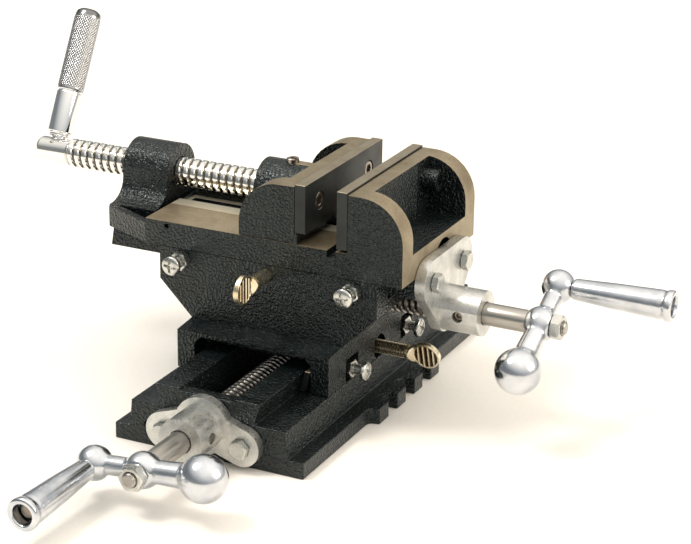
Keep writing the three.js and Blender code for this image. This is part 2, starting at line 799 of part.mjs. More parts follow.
function addSaddle(group) {
  add(group, 'saddle_casting', saddleCasting(), blackEnamel);

  const gibHalf = halfSaddle - 0.6;
  const lowerGib = prism('y', gibPoints(base.blockTop, lowerWayTop, 1), -gibHalf, gibHalf);
  add(group, 'lower_gib', lowerGib, groundIron);
  const upperGibHalf = saddle.plateHalf - 0.6;
  const upperGib = prism('x', gibPoints(vise.bottom, upperWayTip, -1), -upperGibHalf, upperGibHalf);
  add(group, 'upper_gib', upperGib, groundIron);

  const lowerTop = lowerCavityTop - GAP;
  const nutScrewTip = lowerScrew.axisZ + leadScrew.radius + 1.5;
  const lowerNut = screwNutBody('y', lowerScrew.axisZ - screwNut.below, lowerTop, lowerScrew.axisZ);
  const lowerTap = screwHole('z', socketScrew.radius + GAP, nutScrewTip - GAP, lowerTop + 1, 0, 0);
  add(group, 'lower_screw_nut', lowerNut.subtract(lowerTap), bronze);
  const tunnelFloor = upperScrew.axisZ - tunnelRadius;
  const lowerNutScrew = socketScrewBody(tunnelFloor - 1 - nutScrewTip);
  aim(add(group, 'lower_nut_screw', lowerNutScrew, zinc), VZ, at(0, 0, tunnelFloor - 1));

  const upperNutBottom = upperScrew.axisZ - screwNut.above;
  const upperNutTop = upperCavityFloor - GAP;
  const upperNutTip = upperScrew.axisZ - leadScrew.radius - 1.5;
  const upperTap = screwHole('z', socketScrew.radius + GAP, upperNutBottom - 1, upperNutTip + GAP, 0, 0);
  const upperNut = screwNutBody('x', upperNutBottom, upperNutTop, upperScrew.axisZ).subtract(upperTap);
  add(group, 'upper_screw_nut', upperNut, bronze).position.x = upperNutX;
  const upperNutScrew = socketScrewBody(upperNutTip - lowerCavityTop - GAP);
  aim(
    add(group, 'upper_nut_screw', upperNutScrew, zinc), VZ.clone().negate(), at(upperNutX, 0, lowerCavityTop + GAP),
  );

  const front = VY.clone().negate();
  for (const [side, name] of [[-1, 'front'], [1, 'rear']]) {
    const seat = at(lowerSeatX, side * lowerGibScrewY, lowerWayMid);
    const depth = lowerSeatX - lowerGibFaceX - tipGap;
    aim(add(group, `lower_gib_screw_${name}`, gibScrewBody(depth), zinc), VX, seat);
    aim(add(group, `lower_gib_nut_${name}`, lockNutBody(), zinc), VX, seat);
  }
  for (const [side, name] of [[-1, 'left'], [1, 'right']]) {
    const seat = at(side * upperGibScrewX, plateFrontY, upperWayMid);
    const depth = upperGibFaceY - plateFrontY - tipGap;
    aim(add(group, `upper_gib_screw_${name}`, gibScrewBody(depth), zinc), front, seat);
    aim(add(group, `upper_gib_nut_${name}`, lockNutBody(), zinc), front, seat);
  }

  const lowerLock = thumbScrewBody(saddle.halfWidth - lowerGibFaceX - tipGap, lockScrew.lowerReach);
  const lowerPaddle = add(group, 'lower_lock_screw', lowerLock, yellowZinc);
  aim(lowerPaddle, VX, at(saddle.halfWidth, 0, lowerWayMid));
  lowerPaddle.rotateZ(lockScrew.lowerTurn * DEG);
  const upperLock = thumbScrewBody(upperGibFaceY - plateFrontY - tipGap, lockScrew.upperReach);
  const upperPaddle = add(group, 'upper_lock_screw', upperLock, yellowZinc);
  aim(upperPaddle, front, at(0, plateFrontY, upperWayMid));
  upperPaddle.rotateZ(lockScrew.upperTurn * DEG);
}

// ---------------------------------------------------------------------------------------
// Vise body
// ---------------------------------------------------------------------------------------

const plateSeatWall = vise.wallX;
const screwReach = plate.thick + plateSeatWall + 2;

// The quarter-round back of a jaw: straight up its face, round over its back.
function jawSection(face, backX, radius, bottom, top) {
  const turn = Math.sign(backX - face);
  const centreX = backX - turn * radius;
  const centreZ = top - radius;
  const points = [[face, bottom], [face, top]];
  const steps = 10;
  for (let i = 0; i <= steps; i += 1) {
    const angle = (Math.PI / 2) * (1 - i / steps);
    points.push([centreX + turn * radius * Math.cos(angle), centreZ + radius * Math.sin(angle)]);
  }
  points.push([backX, bottom]);
  return points;
}

function noseOutline(inset) {
  const half = halfJaw - inset;
  const tip = vise.noseLeft + inset;
  return [
    [vise.bedLeft, -half],
    [vise.bedLeft, half],
    [tip + 2, vise.noseHalf - inset],
    [tip, vise.noseHalf - inset - 4],
    [tip, -vise.noseHalf + inset + 4],
    [tip + 2, -vise.noseHalf + inset],
  ];
}

// The foot's outline across the boss: each side is a quarter ellipse, upright where it leaves
// the boss and level where it meets the nose's top.
function bossFootPoints() {
  const steps = 6;
  const spread = vise.footHalf - vise.bossRadius;
  const drop = vise.footTop - vise.noseTop;
  const side = [];
  for (let i = 0; i <= steps; i += 1) {
    const angle = ((Math.PI / 2) * i) / steps;
    side.push([vise.footHalf - spread * Math.cos(angle), vise.footTop - drop * Math.sin(angle)]);
  }
  side.push([vise.footHalf, vise.bottom]);
  return [...side, ...side.reverse().map(([y, z]) => [-y, z])];
}

function viseCasting() {
  const bed = box(vise.bedLeft, vise.right, -halfJaw, halfJaw, vise.bottom, vise.bedTop);
  const nose = prism('z', noseOutline(0), vise.bottom, vise.noseTop);
  const lowWay = prism('x', wayPoints(vise.bottom, upperWayTip, 0, 0), vise.noseLeft + 1, vise.right);
  const fixedJaw = prism(
    'y', jawSection(plateSeat, vise.right, vise.backRadius, vise.bedTop - 2, vise.castTop), -halfJaw, halfJaw,
  );
  const hollow = prism(
    'y', jawSection(plateSeat + vise.wallX, vise.right + 2, vise.backRadius, vise.floorTop, vise.castTop + 2),
    -halfJaw + vise.wallY, halfJaw - vise.wallY,
  );
  const screwBosses = [-1, 1].map((side) => rod(
    'x', vise.pocketBossRadius, plateSeat + 2, plateSeat + vise.wallX + vise.pocketBossReach,
    side * plate.screwSpread, plate.screwZ,
  ));

  // The spindle's boss: upright sides, a round top and a foot that flares out to the nose.
  const boss = joined(
    box(vise.bossLeft, vise.bossRight, -vise.bossRadius, vise.bossRadius, vise.bottom, spindle.axisZ),
    rod('x', vise.bossRadius, vise.bossLeft, vise.bossRight, 0, spindle.axisZ, BOSS_ROUND),
    prism('x', bossFootPoints(), vise.bossLeft, vise.bossRight),
  );
  const floor = vise.noseTop - vise.nosePocketDepth;
  const pocket = prism('z', noseOutline(4.5), floor, vise.noseTop + 5)
    .intersect(box(vise.noseLeft, vise.bedLeft - 3, -halfJaw, halfJaw, floor, vise.noseTop + 5));

  const channelLeft = vise.bedLeft + 1;
  const channelRight = vise.fixedFace - vise.chipGroove + 1;
  const rails = box(
    vise.bedLeft - 2, channelRight, -vise.railSlotHalf, vise.railSlotHalf, vise.ledgeZ, vise.bedTop + 1,
  ).subtract(boss);
  const slot = box(channelLeft, channelRight, -vise.slotHalf, vise.slotHalf, vise.keeperTop - 1, vise.ledgeZ + 1);
  const keeperRoom = box(
    channelLeft, channelRight, -vise.keeperHalf - RUN_GAP, vise.keeperHalf + RUN_GAP, upperWayTip - 1, vise.keeperTop,
  );
  const groove = box(
    vise.fixedFace - vise.chipGroove, vise.fixedFace - GAP, -halfJaw - 1, halfJaw + 1,
    vise.bedTop - vise.chipGrooveDepth, vise.bedTop + 1,
  );
  const arch = rod('x', 12, vise.right - 7, vise.right + 1, 6, vise.bottom);
  const bore = rod('x', spindle.radius + RUN_GAP, vise.bossLeft - 1, vise.bossRight + 1, 0, spindle.axisZ);

  const bedHole = rod(
    'y', vise.bedHoleRadius, -halfJaw - 1, -halfJaw + 8, vise.bedHoleX, vise.bedHoleZ, SMALL_ROUND,
  );

  const tools = [slot, keeperRoom, groove, arch, bore, bedHole];
  for (const side of [-1, 1]) {
    const y = side * plate.screwSpread;
    const through = plateSeat + vise.wallX + vise.pocketBossReach + 1;
    tools.push(screwHole('x', socketScrew.radius + GAP, plateSeat - 1, through, y, plate.screwZ));
    tools.push(screwHole(
      'x', bolt.radius + GAP, vise.right - bolt.length, vise.right + 1,
      side * upperBracket.lobeX, upperScrew.axisZ + upperBracket.lobeZ,
    ));
  }
  const shell = joined(cut(joined(bed, nose, lowWay, fixedJaw), hollow, pocket, rails), ...screwBosses, boss);
  return cut(shell, ...tools);
}

function jawPlateBody(bottom) {
  const body = box(0, plate.thick, -halfJaw, halfJaw, bottom, plate.top);
  const tools = [];
  for (const side of [-1, 1]) {
    const y = side * plate.screwSpread;
    tools.push(rod('x', socketScrew.headRadius + GAP, -1, socketScrew.headThick + GAP, y, plate.screwZ, 16));
    tools.push(screwHole('x', socketScrew.radius + GAP, -1, plate.thick + 1, y, plate.screwZ));
  }
  return cut(body, ...tools);
}

// Adds a hardened plate with its two screws. The direction is the way its face looks.
function addJawPlate(group, prefix, faceX, direction, bottom) {
  const mesh = add(group, `${prefix}_jaw_plate`, jawPlateBody(bottom), groundIron);
  mesh.rotation.z = direction > 0 ? Math.PI : 0;
  mesh.position.x = faceX;
  for (const [side, name] of [[-1, 'near'], [1, 'far']]) {
    const screw = add(group, `${prefix}_plate_screw_${name}`, socketScrewBody(screwReach), steel);
    aim(screw, at(direction, 0, 0), at(faceX - direction * GAP, side * plate.screwSpread, plate.screwZ));
  }
}

// ---------------------------------------------------------------------------------------
// Movable jaw: its group's origin is in the plane of the jaw's gripping face
// ---------------------------------------------------------------------------------------

const seatX = -plate.thick - GAP;
const jawBottom = vise.bedTop + RUN_GAP;
const keyBottom = vise.keeperTop - GAP;
const keeperThick = 6;
const keyLeft = -jaw.depth + 6;
const keyRight = -12;
const keeperTopZ = vise.keeperTop - 2 * RUN_GAP;
const keeperScrewX = [keyLeft + 6, keyRight - 6];
const keeperScrewTip = spindle.axisZ - spindle.journalRadius - RUN_GAP - 3;

function movableJawCasting() {
  const body = prism('y', jawSection(seatX, -jaw.depth, jaw.backRadius, jawBottom, jaw.castTop), -halfJaw, halfJaw);
  const lip = box(seatX - 2, -jaw.lipSetback, -halfJaw, halfJaw, jawBottom, plate.movableBottom);
  const hollow = prism(
    'y', jawSection(seatX - vise.wallX, -jaw.depth - 2, jaw.backRadius, jaw.floorTop, jaw.castTop + 2),
    -halfJaw + vise.wallY, halfJaw - vise.wallY,
  );
  const boss = rod('x', jaw.bossRadius, -jaw.bossLength, seatX - 2, 0, spindle.axisZ, BOSS_ROUND)
    .intersect(box(-jaw.bossLength - 1, 0, -halfJaw, halfJaw, jawBottom, jaw.castTop + 10));
  const tongue = box(
    keyLeft, keyRight, -vise.railSlotHalf + RUN_GAP, vise.railSlotHalf - RUN_GAP, vise.ledgeZ + RUN_GAP, jawBottom + 1,
  );
  const key = box(keyLeft, keyRight, -vise.slotHalf + RUN_GAP, vise.slotHalf - RUN_GAP, keyBottom, jawBottom + 1);
  const bore = rod(
    'x', spindle.journalRadius + RUN_GAP, -jaw.bossLength - 1, -jaw.bossLength + spindle.journalLength + 1, 0,
    spindle.axisZ,
  );
  const lockX = -jaw.bossLength + retaining.at;
  const lockHole = screwHole('z', retaining.radius + GAP, spindle.axisZ, jaw.castTop + 5, lockX, 0);
  const tools = [bore, lockHole];
  for (const x of keeperScrewX) {
    tools.push(screwHole('z', socketScrew.radius + GAP, keyBottom - 1, keeperScrewTip + GAP, x, 0));
  }
  for (const side of [-1, 1]) {
    const y = side * plate.screwSpread;
    tools.push(screwHole('x', socketScrew.radius + GAP, seatX - vise.wallX - 6, seatX + 1, y, plate.screwZ));
  }
  return cut(joined(cut(joined(body, lip), hollow), boss, tongue, key), ...tools);
}

function keeperBody() {
  const body = box(
    keyLeft - 4, keyRight + 4, -vise.keeperHalf, vise.keeperHalf, keeperTopZ - keeperThick, keeperTopZ,
  );
  const tools = [];
  for (const x of keeperScrewX) {
    tools.push(screwHole('z', socketScrew.radius + GAP, keeperTopZ - keeperThick - 1, keeperTopZ + 1, x, 0));
  }
  return cut(body, ...tools);
}

// A slotted headless screw whose tip rides in the spindle's groove.
function retainingScrewBody() {
  const top = jaw.bossRadius + retaining.proud;
  const tip = spindle.journalRadius - 1.4 + RUN_GAP;
  const body = joined(
    rod('z', retaining.radius, spindle.journalRadius + RUN_GAP + GAP, top, 0, 0, 20),
    rod('z', 2, tip, spindle.journalRadius + 2, 0, 0, SMALL_ROUND),
  );
  return body.subtract(box(-6, 6, -0.9, 0.9, top - 2.4, top + 1));
}

// The spindle's axis is local Z, pointing at the handle, and z = 0 is at the boss's back.
function spindleBody() {
  const threadEnd = spindle.threadLength;
  const hubEnd = threadEnd + spindle.hubLength;
  const r = spindle.radius;
  const groove = -retaining.at;
  const body = turned([
    [0, -spindle.journalLength],
    [spindle.journalRadius, -spindle.journalLength],
    [spindle.journalRadius, groove - 2.5],
    [spindle.journalRadius - 1.4, groove - 2.5],
    [spindle.journalRadius - 1.4, groove + 2.5],
    [spindle.journalRadius, groove + 2.5],
    [spindle.journalRadius, RUN_GAP],
    [r - 1, RUN_GAP],
    [r, RUN_GAP + 1],
    [r, threadEnd - 1],
    [spindle.hubRadius, threadEnd],
    [spindle.hubRadius, hubEnd - 2],
    [spindle.hubRadius - 1.6, hubEnd - 0.3],
    [spindle.hubRadius - 3.5, hubEnd],
    [0, hubEnd],
  ]);
  const middle = threadEnd + spindle.hubLength / 2;
  return cut(
    body,
    rod('x', handle.tenonRadius + GAP, -1, spindle.hubRadius + 2, 0, middle, 20),
    rod(
      'y', spindle.pinRadius + GAP, -spindle.hubRadius - 2, spindle.hubRadius + 2, spindle.pinOffset, middle, SMALL_ROUND,
    ),
  );
}

// The handle's axis is local X, and its base's middle is at the spindle's axis.
function handleBody() {
  const neck = spindle.hubRadius + GAP;
  const radius = handle.gripRadius;
  const end = handle.length;
  const body = turned([
    [0, -0.6],
    [handle.tenonRadius, -0.6],
    [handle.tenonRadius, neck],
    [handle.collarRadius, neck],
    [handle.collarRadius, neck + 2],
    [handle.barRadius, neck + 2.4],
    [handle.barRadius, handle.gripStart],
    [radius, handle.gripStart + 0.5],
    [radius, end - 5],
    [radius - 0.9, end - 2.2],
    [radius - 3.2, end - 0.6],
    [0, end],
  ]);
  const pinHole = rod(
    'y', spindle.pinRadius + GAP, -handle.tenonRadius - 1, handle.tenonRadius + 1, 0, spindle.pinOffset, SMALL_ROUND,
  );
  return body.subtract(pinHole);
}

function addMovableJaw(group) {
  add(group, 'movable_jaw_casting', movableJawCasting(), blackEnamel);
  addJawPlate(group, 'movable', 0, 1, plate.movableBottom + GAP);
  add(group, 'jaw_keeper_plate', keeperBody(), steel);
  keeperScrewX.forEach((x, i) => {
    const headTop = keeperTopZ - keeperThick - GAP;
    const headThick = 3.4;
    const screw = socketScrewBody(keeperScrewTip - headTop + headThick, headThick);
    const mesh = add(group, `keeper_screw_${i === 0 ? 'rear' : 'front'}`, screw, zinc);
    aim(mesh, VZ.clone().negate(), at(x, 0, headTop - headThick));
  });
  const lockX = -jaw.bossLength + retaining.at;
  add(group, 'spindle_retaining_screw', retainingScrewBody(), steel).position.set(lockX, 0, spindle.axisZ);

  // The spindle group's Z runs to the handle, along -X, and its X is the handle's direction.
  const spindleGroup = new THREE.Group();
  const angle = spindle.handleAngle * DEG;
  const handleWay = at(0, Math.sin(angle), Math.cos(angle));
  const outward = VX.clone().negate();
  const across = outward.clone().cross(handleWay);
  spindleGroup.quaternion.setFromRotationMatrix(new THREE.Matrix4().makeBasis(handleWay, across, outward));
  spindleGroup.position.set(-jaw.bossLength, 0, spindle.axisZ);
  group.add(spindleGroup);
  add(spindleGroup, 'clamp_spindle', spindleBody(), chrome);
  const bar = add(spindleGroup, 'handle_bar', handleBody(), chrome);
  const middle = spindle.threadLength + spindle.hubLength / 2;
  bar.position.z = middle;
  bar.rotation.y = Math.PI / 2;
  const pinHalf = spindle.hubRadius - 1;
  const pin = rod('y', spindle.pinRadius, -pinHalf, pinHalf, spindle.pinOffset, middle, SMALL_ROUND);
  add(spindleGroup, 'handle_pin', pin, steel);
}

// ---------------------------------------------------------------------------------------
// Assembly
// ---------------------------------------------------------------------------------------

// Turns a group so that its local Z is the outward way and its local X the given way.
function orient(group, outward, xWay) {
  const yWay = outward.clone().cross(xWay);
  group.quaternion.setFromRotationMatrix(new THREE.Matrix4().makeBasis(xWay, yWay, outward));
}

const crossVise = new THREE.Group();
add(crossVise, 'base_casting', baseCasting(), blackEnamel);

const lowerOut = VY.clone().negate();
const lowerMount = at(0, -halfBase, lowerScrew.axisZ);
const frontBracket = bracketAssembly('lower', lowerBracket, 1);
orient(frontBracket, lowerOut, VX);
frontBracket.position.copy(lowerMount);
crossVise.add(frontBracket);

const lowerCrank = crankedScrew('lower', lowerScrew);
const lowerArm = lowerScrew.armAngle * DEG;
orient(lowerCrank, lowerOut, at(-Math.cos(lowerArm), 0, -Math.sin(lowerArm)));
lowerCrank.position.copy(lowerMount);
crossVise.add(lowerCrank);

const saddleGroup = new THREE.Group();
saddleGroup.position.y = saddle.centreY;
crossVise.add(saddleGroup);
addSaddle(saddleGroup);

const viseGroup = new THREE.Group();
saddleGroup.add(viseGroup);
add(viseGroup, 'vise_casting', viseCasting(), blackEnamel);
addJawPlate(viseGroup, 'fixed', vise.fixedFace, -1, plate.fixedBottom);

const upperMount = at(vise.right, 0, upperScrew.axisZ);
const sideBracket = bracketAssembly('upper', upperBracket, -1);
orient(sideBracket, VX, VY);
sideBracket.position.copy(upperMount);
viseGroup.add(sideBracket);

const upperCrank = crankedScrew('upper', upperScrew);
const upperArm = upperScrew.armAngle * DEG;
orient(upperCrank, VX, at(0, Math.cos(upperArm), Math.sin(upperArm)));
upperCrank.position.copy(upperMount);
viseGroup.add(upperCrank);

const jawGroup = new THREE.Group();
jawGroup.position.x = jaw.face;
viseGroup.add(jawGroup);
addMovableJaw(jawGroup);

export default crossVise;
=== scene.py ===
# The looks of a two-axis cross-slide vise: enamelled iron castings, ground jaw plates,
# rolled screw threads, a knurled chrome handle and polished ball cranks.

import json
import math

import bmesh
import bpy
import numpy as np
from mathutils import Matrix, Vector

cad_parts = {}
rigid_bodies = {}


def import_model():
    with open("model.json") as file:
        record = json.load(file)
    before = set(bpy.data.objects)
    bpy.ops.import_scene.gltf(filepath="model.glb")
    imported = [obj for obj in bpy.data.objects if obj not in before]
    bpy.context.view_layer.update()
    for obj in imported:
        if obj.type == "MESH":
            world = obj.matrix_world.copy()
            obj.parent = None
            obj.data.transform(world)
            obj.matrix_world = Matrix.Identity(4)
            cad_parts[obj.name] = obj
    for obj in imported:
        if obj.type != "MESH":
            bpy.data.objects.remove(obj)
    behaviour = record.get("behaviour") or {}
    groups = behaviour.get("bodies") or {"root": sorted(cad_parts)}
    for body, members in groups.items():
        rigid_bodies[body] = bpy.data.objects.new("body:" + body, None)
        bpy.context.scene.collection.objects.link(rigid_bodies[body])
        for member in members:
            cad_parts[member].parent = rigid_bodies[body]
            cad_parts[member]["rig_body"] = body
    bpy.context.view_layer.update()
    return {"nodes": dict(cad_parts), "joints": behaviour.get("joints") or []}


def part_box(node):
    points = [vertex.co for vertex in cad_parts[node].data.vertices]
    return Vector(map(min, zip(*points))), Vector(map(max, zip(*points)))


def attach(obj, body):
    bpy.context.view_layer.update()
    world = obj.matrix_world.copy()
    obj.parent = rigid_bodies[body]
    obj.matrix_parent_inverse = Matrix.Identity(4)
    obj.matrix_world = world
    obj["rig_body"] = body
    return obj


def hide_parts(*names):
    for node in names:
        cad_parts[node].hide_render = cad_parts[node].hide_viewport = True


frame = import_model()

# ---------------------------------------------------------------------------------------
# Sizes, in millimetres
# ---------------------------------------------------------------------------------------

MM = 0.001  # one millimetre in Blender's metres
FULL_TURN = 2 * math.pi

CASTING_ROUNDING = 1.3  # radius left on a casting's edges by fettling and enamel
BRACKET_ROUNDING = 1.1  # radius on a die-cast bracket's edges
GROUND_ROUNDING = 0.35  # radius on a ground steel or iron edge
SMOOTH_BELOW = 33  # faces that meet at less than this many degrees shade as one surface

HUB_RADIUS = 10.0
GRIP_BALL_RADIUS = 9.7
WEIGHT_BALL_RADIUS = 13.0
WEIGHT_REACH = 36.1  # from the hub to the counterweight's centre
THIN_NECK = 5.4
THICK_NECK = 6.4
HUB_FLAT = 7.0  # from the hub's centre to the flats that the nut and the shaft bear on
GRIP_FLAT = 8.5  # from the grip ball's centre to the flat that the sleeve runs on

LEAD_PITCH = 4.0
LEAD_DEPTH = 1.7
LEAD_RADIUS = 8.0
JOURNAL_RADIUS = 6.5
GROOVE_RADIUS = 5.0
STUB_RADIUS = 4.0
CLAMP_PITCH = 5.0
CLAMP_DEPTH = 1.5
NUT_THREAD_PITCH = 1.25
NUT_THREAD_DEPTH = 0.55
SMALL_THREAD_PITCH = 1.0
SMALL_THREAD_DEPTH = 0.42
THREAD_CREST = 0.5  # share of the half pitch that stays uncut
THREAD_FLANK = 0.26  # share of the half pitch that the flank takes

CRANK_NUT_FLATS = 13
CRANK_NUT_THICK = 6.0
JAM_NUT_FLATS = 10
BOLT_FLATS = 10
BOLT_SHANK = 3
BOLT_LENGTH = 13.7
BOLT_HEAD = 4
SET_SCREW_AT = 17.5  # from the bracket's mount, along the lead screw
GIB_SHANK = 3.0
GIB_HEAD_RADIUS = 5.6
GIB_HEAD_THICK = 4.0

LOCK_SHANK = 4.0
PADDLE_RADIUS = 8.5
PADDLE_HALF_THICK = 1.6
LOCK_CHAMFER = 0.6
NECK_REACH = 5  # from the paddle's centre to where its round outline starts
NECK_HALF_WIDTH = 6.4
LOWER_LOCK_PLAIN = 21  # the lower lock screw's unthreaded end, paddle included
UPPER_LOCK_THREADED = 9  # the upper lock screw's threaded end
RIB_PITCH = 3.1
RIB_DEPTH = 0.42  # share of the paddle's thickness that a rib's valley takes

KNURL_PITCH = 1.7  # from one diamond to the next around the bar
KNURL_HEIGHT = 0.5
KNURL_START = 37.0  # along the handle from the spindle's axis
HUB_LENGTH = 22.0  # the plain end of the clamp spindle

RECORD_JOINTS = {joint["name"]: joint for joint in frame["joints"]}


# ---------------------------------------------------------------------------------------
# Places: a point and three square axes, into which millimetre shapes are put
# ---------------------------------------------------------------------------------------

def centre(node):
    """The middle of a node's box."""
    low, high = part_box(node)
    return np.array((low + high) / 2)


def place(origin, outward, across):
    """A place has its own Z along the outward way and its own X along the across way."""
    z = np.array(outward, float) / np.linalg.norm(outward)
    x = np.array(across, float) - z * np.dot(across, z)
    x /= np.linalg.norm(x)
    return np.array(origin, float), np.array([x, np.cross(z, x), z])


def put(where, points):
    """Millimetre points of a place, as metres in the object's frame."""
    origin, axes = where
    return origin + (points * MM) @ axes


RIGHT = (1, 0, 0)
LEFT = (-1, 0, 0)
FRONT = (0, -1, 0)
UP = (0, 0, 1)
DOWN = (0, 0, -1)


# ---------------------------------------------------------------------------------------
# Meshes
# ---------------------------------------------------------------------------------------

def mesh_of_grid(name, grid, loop=False, hollow=None):
    """Joins a grid of points, rows along and columns around, into one closed mesh. Rows at a
    pole hold one point many times and are merged. A loop also joins its last row to its first.
    The attribute hollow is 0 on the plain surface and 1 or more at the bottom of a groove."""
    rows, columns = grid.shape[:2]
    index = np.arange(rows * columns).reshape(rows, columns)
    if loop:
        index = np.vstack([index, index[:1]])
    here, after = index[:-1], index[1:]
    quads = np.stack([here, np.roll(here, -1, 1), np.roll(after, -1, 1), after], -1)
    mesh = bpy.data.meshes.new(name)
    mesh.from_pydata(grid.reshape(-1, 3).tolist(), [], quads.reshape(-1, 4).tolist())
    if hollow is not None:
        mesh.attributes.new("hollow", "FLOAT", "POINT").data.foreach_set("value", hollow.ravel())
    tidy = bmesh.new()
    tidy.from_mesh(mesh)
    bmesh.ops.remove_doubles(tidy, verts=tidy.verts, dist=1e-6)
    bmesh.ops.recalc_face_normals(tidy, faces=tidy.faces)
    tidy.to_mesh(mesh)
    tidy.free()
    return mesh


def finish_piece(mesh, node, material, smooth_below=SMOOTH_BELOW):
    """Shades a mesh, rides it on its node's body and lets it stand for that node."""
    mesh.shade_smooth()
    mesh.set_sharp_from_angle(angle=math.radians(smooth_below))
    mesh.materials.clear()
    mesh.materials.append(material)
    piece = bpy.data.objects.new(node + "_detail", mesh)
    bpy.context.scene.collection.objects.link(piece)
    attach(piece, frame["nodes"][node]["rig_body"])
    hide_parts(node)
    return piece


def rounded(profile, radius, steps=4):
    """Rounds the inner corners of a profile of (radius, height) points: each corner becomes a
    quadratic curve between the two points that lie one rounding radius before and after it."""
    points = [np.array(point, float) for point in profile]
    result = [points[0]]
    for before, corner, after in zip(points, points[1:], points[2:]):
        to_before, to_after = before - corner, after - corner
        lengths = np.linalg.norm(to_before), np.linalg.norm(to_after)
        reach = min(radius, 0.45 * lengths[0], 0.45 * lengths[1])
        start = corner + to_before / lengths[0] * reach
        end = corner + to_after / lengths[1] * reach
        for t in np.linspace(0, 1, steps):
            result.append((1 - t) ** 2 * start + 2 * t * (1 - t) * corner + t * t * end)
    result.append(points[-1])
    return np.array(result)


def angles(sides):
    """Equal steps once round a circle."""
    return np.arange(sides) * FULL_TURN / sides


def turned_grid(profile, sides):
    """Turns a profile about its axis: x = r cos t, y = r sin t, z = height."""
    turn = angles(sides)
    radius, height = profile[:, :1], profile[:, 1:]
    return np.stack(
        [radius * np.cos(turn), radius * np.sin(turn), height + 0 * turn], -1,
    )


def hexagon(flats, sides):
    """The radius of a hexagon at each angle: half its width over flats, divided by the cosine
    of the angle from the nearest flat's middle."""
    turn = angles(sides)
    return flats / 2 / np.cos(np.mod(turn, FULL_TURN / 6) - FULL_TURN / 12)


def stack_rows(rows, sides):
    """Rows of (radius, height), each a number or one value for every angle, as a grid."""
    turn = angles(sides)
    radius = np.array([np.broadcast_to(row[0], turn.shape) for row in rows])
    height = np.array([np.broadcast_to(row[1], turn.shape) for row in rows])
    return np.stack([radius * np.cos(turn), radius * np.sin(turn), height], -1)


def helix(height, turn, pitch):
    """How far each point is from the crest of a right-hand thread, from 0 to 1: the distance
    of its height, less the angle's share of the pitch, from the nearest whole pitch."""
    phase = np.mod(height / pitch - turn / FULL_TURN, 1)
    return np.abs(2 * phase - 1)


def thread_cut(height, turn, pitch, depth, low, high):
    """The depth of a rolled thread at each point: nothing on the crest, full in the root, a
    smooth flank between them, fading out over the last half pitch at either end."""
    groove = np.clip((helix(height, turn, pitch) - THREAD_CREST) / THREAD_FLANK, 0, 1)
    groove = groove * groove * (3 - 2 * groove)
    fade = np.clip(np.minimum(height - low, high - height) / (0.5 * pitch), 0, 1)
    return depth * groove * fade


def refine(profile, low, high, step):
    """Adds profile points every step between two heights, so a thread has rows to show in."""
    heights, radii = profile[:, 1], profile[:, 0]
    extra = np.arange(low + step, high, step)
    extra = extra[(extra > heights.min()) & (extra < heights.max())]
    radii_there = np.interp(extra, heights, radii)
    merged = np.vstack([profile, np.column_stack([radii_there, extra])])
    return merged[np.argsort(merged[:, 1], kind="stable")]


def threaded_grid(profile, sides, threads):
    """A turned profile whose radius is cut by threads, each (low, high, pitch, depth)."""
    for low, high, pitch, _ in threads:
        profile = refine(profile, low, high, pitch / 12)
    grid = turned_grid(profile, sides)
    turn = angles(sides)
    radius = np.broadcast_to(profile[:, :1], grid.shape[:2]).copy()
    for low, high, pitch, depth in threads:
        height = profile[:, 1:]
        within = (height >= low) & (height <= high)
        radius -= np.where(within, thread_cut(height, turn, pitch, depth, low, high), 0)
    return np.stack([radius * np.cos(turn), radius * np.sin(turn), grid[..., 2]], -1)


# ---------------------------------------------------------------------------------------
# Materials
# ---------------------------------------------------------------------------------------

def linear(code):
    """Turns an sRGB hex colour into linear red, green, blue and alpha."""
    parts = np.array([int(code[i:i + 2], 16) / 255 for i in (1, 3, 5)])
    parts = np.where(parts <= 0.04045, parts / 12.92, ((parts + 0.055) / 1.055) ** 2.4)
    return (*parts.tolist(), 1.0)


def add(tree, kind, inputs=None, **settings):
    """Adds a node with its settings; an input is a value, or another node's output to link."""
    made = tree.nodes.new(kind)
    for key, value in settings.items():
        setattr(made, key, value)
    for key, value in (inputs or {}).items():
        if isinstance(value, bpy.types.NodeSocket):
            tree.links.new(value, made.inputs[key])
        else:
            made.inputs[key].default_value = value
    return made


def new_material(name):
    """An empty material and its node tree."""
    material = bpy.data.materials.new(name)
    material.use_nodes = True
    material.node_tree.nodes.clear()
    return material, material.node_tree


def shade(tree, **inputs):
    """Ends a material in one Principled shader."""
    named = {key.replace("_", " "): value for key, value in inputs.items()}
    shader = add(tree, "ShaderNodeBsdfPrincipled", named)
    add(tree, "ShaderNodeOutputMaterial", {"Surface": shader.outputs[0]})
    return shader


def ramp(tree, factor, low, high, out_low=0.0, out_high=1.0):
    """Maps a value from one range to another, held at both ends."""
    inputs = {"Value": factor, "From Min": low, "From Max": high, "To Min": out_low, "To Max": out_high}
    return add(tree, "ShaderNodeMapRange", inputs).outputs[0]


def blend(tree, factor, first, second):
    """Mixes two colours by a factor."""
    mixer = add(tree, "ShaderNodeMix", {0: factor, 6: first, 7: second}, data_type="RGBA")
    return mixer.outputs[2]


def noise(tree, coords, size_mm, detail=2.0, roughness=0.5):
    """Noise whose lumps are about the given size across."""
    inputs = {"Vector": coords, "Scale": 1 / (size_mm * MM), "Detail": detail, "Roughness": roughness}
    return add(tree, "ShaderNodeTexNoise", inputs).outputs[0]


def object_coords(tree):
    """Places on the finished piece, in metres."""
    return add(tree, "ShaderNodeTexCoord").outputs["Object"]


def stretched(tree, coords, scale):
    """Coordinates squeezed along some axes, so noise draws out into lines along the others."""
    return add(tree, "ShaderNodeMapping", {"Vector": coords, "Scale": scale}).outputs[0]


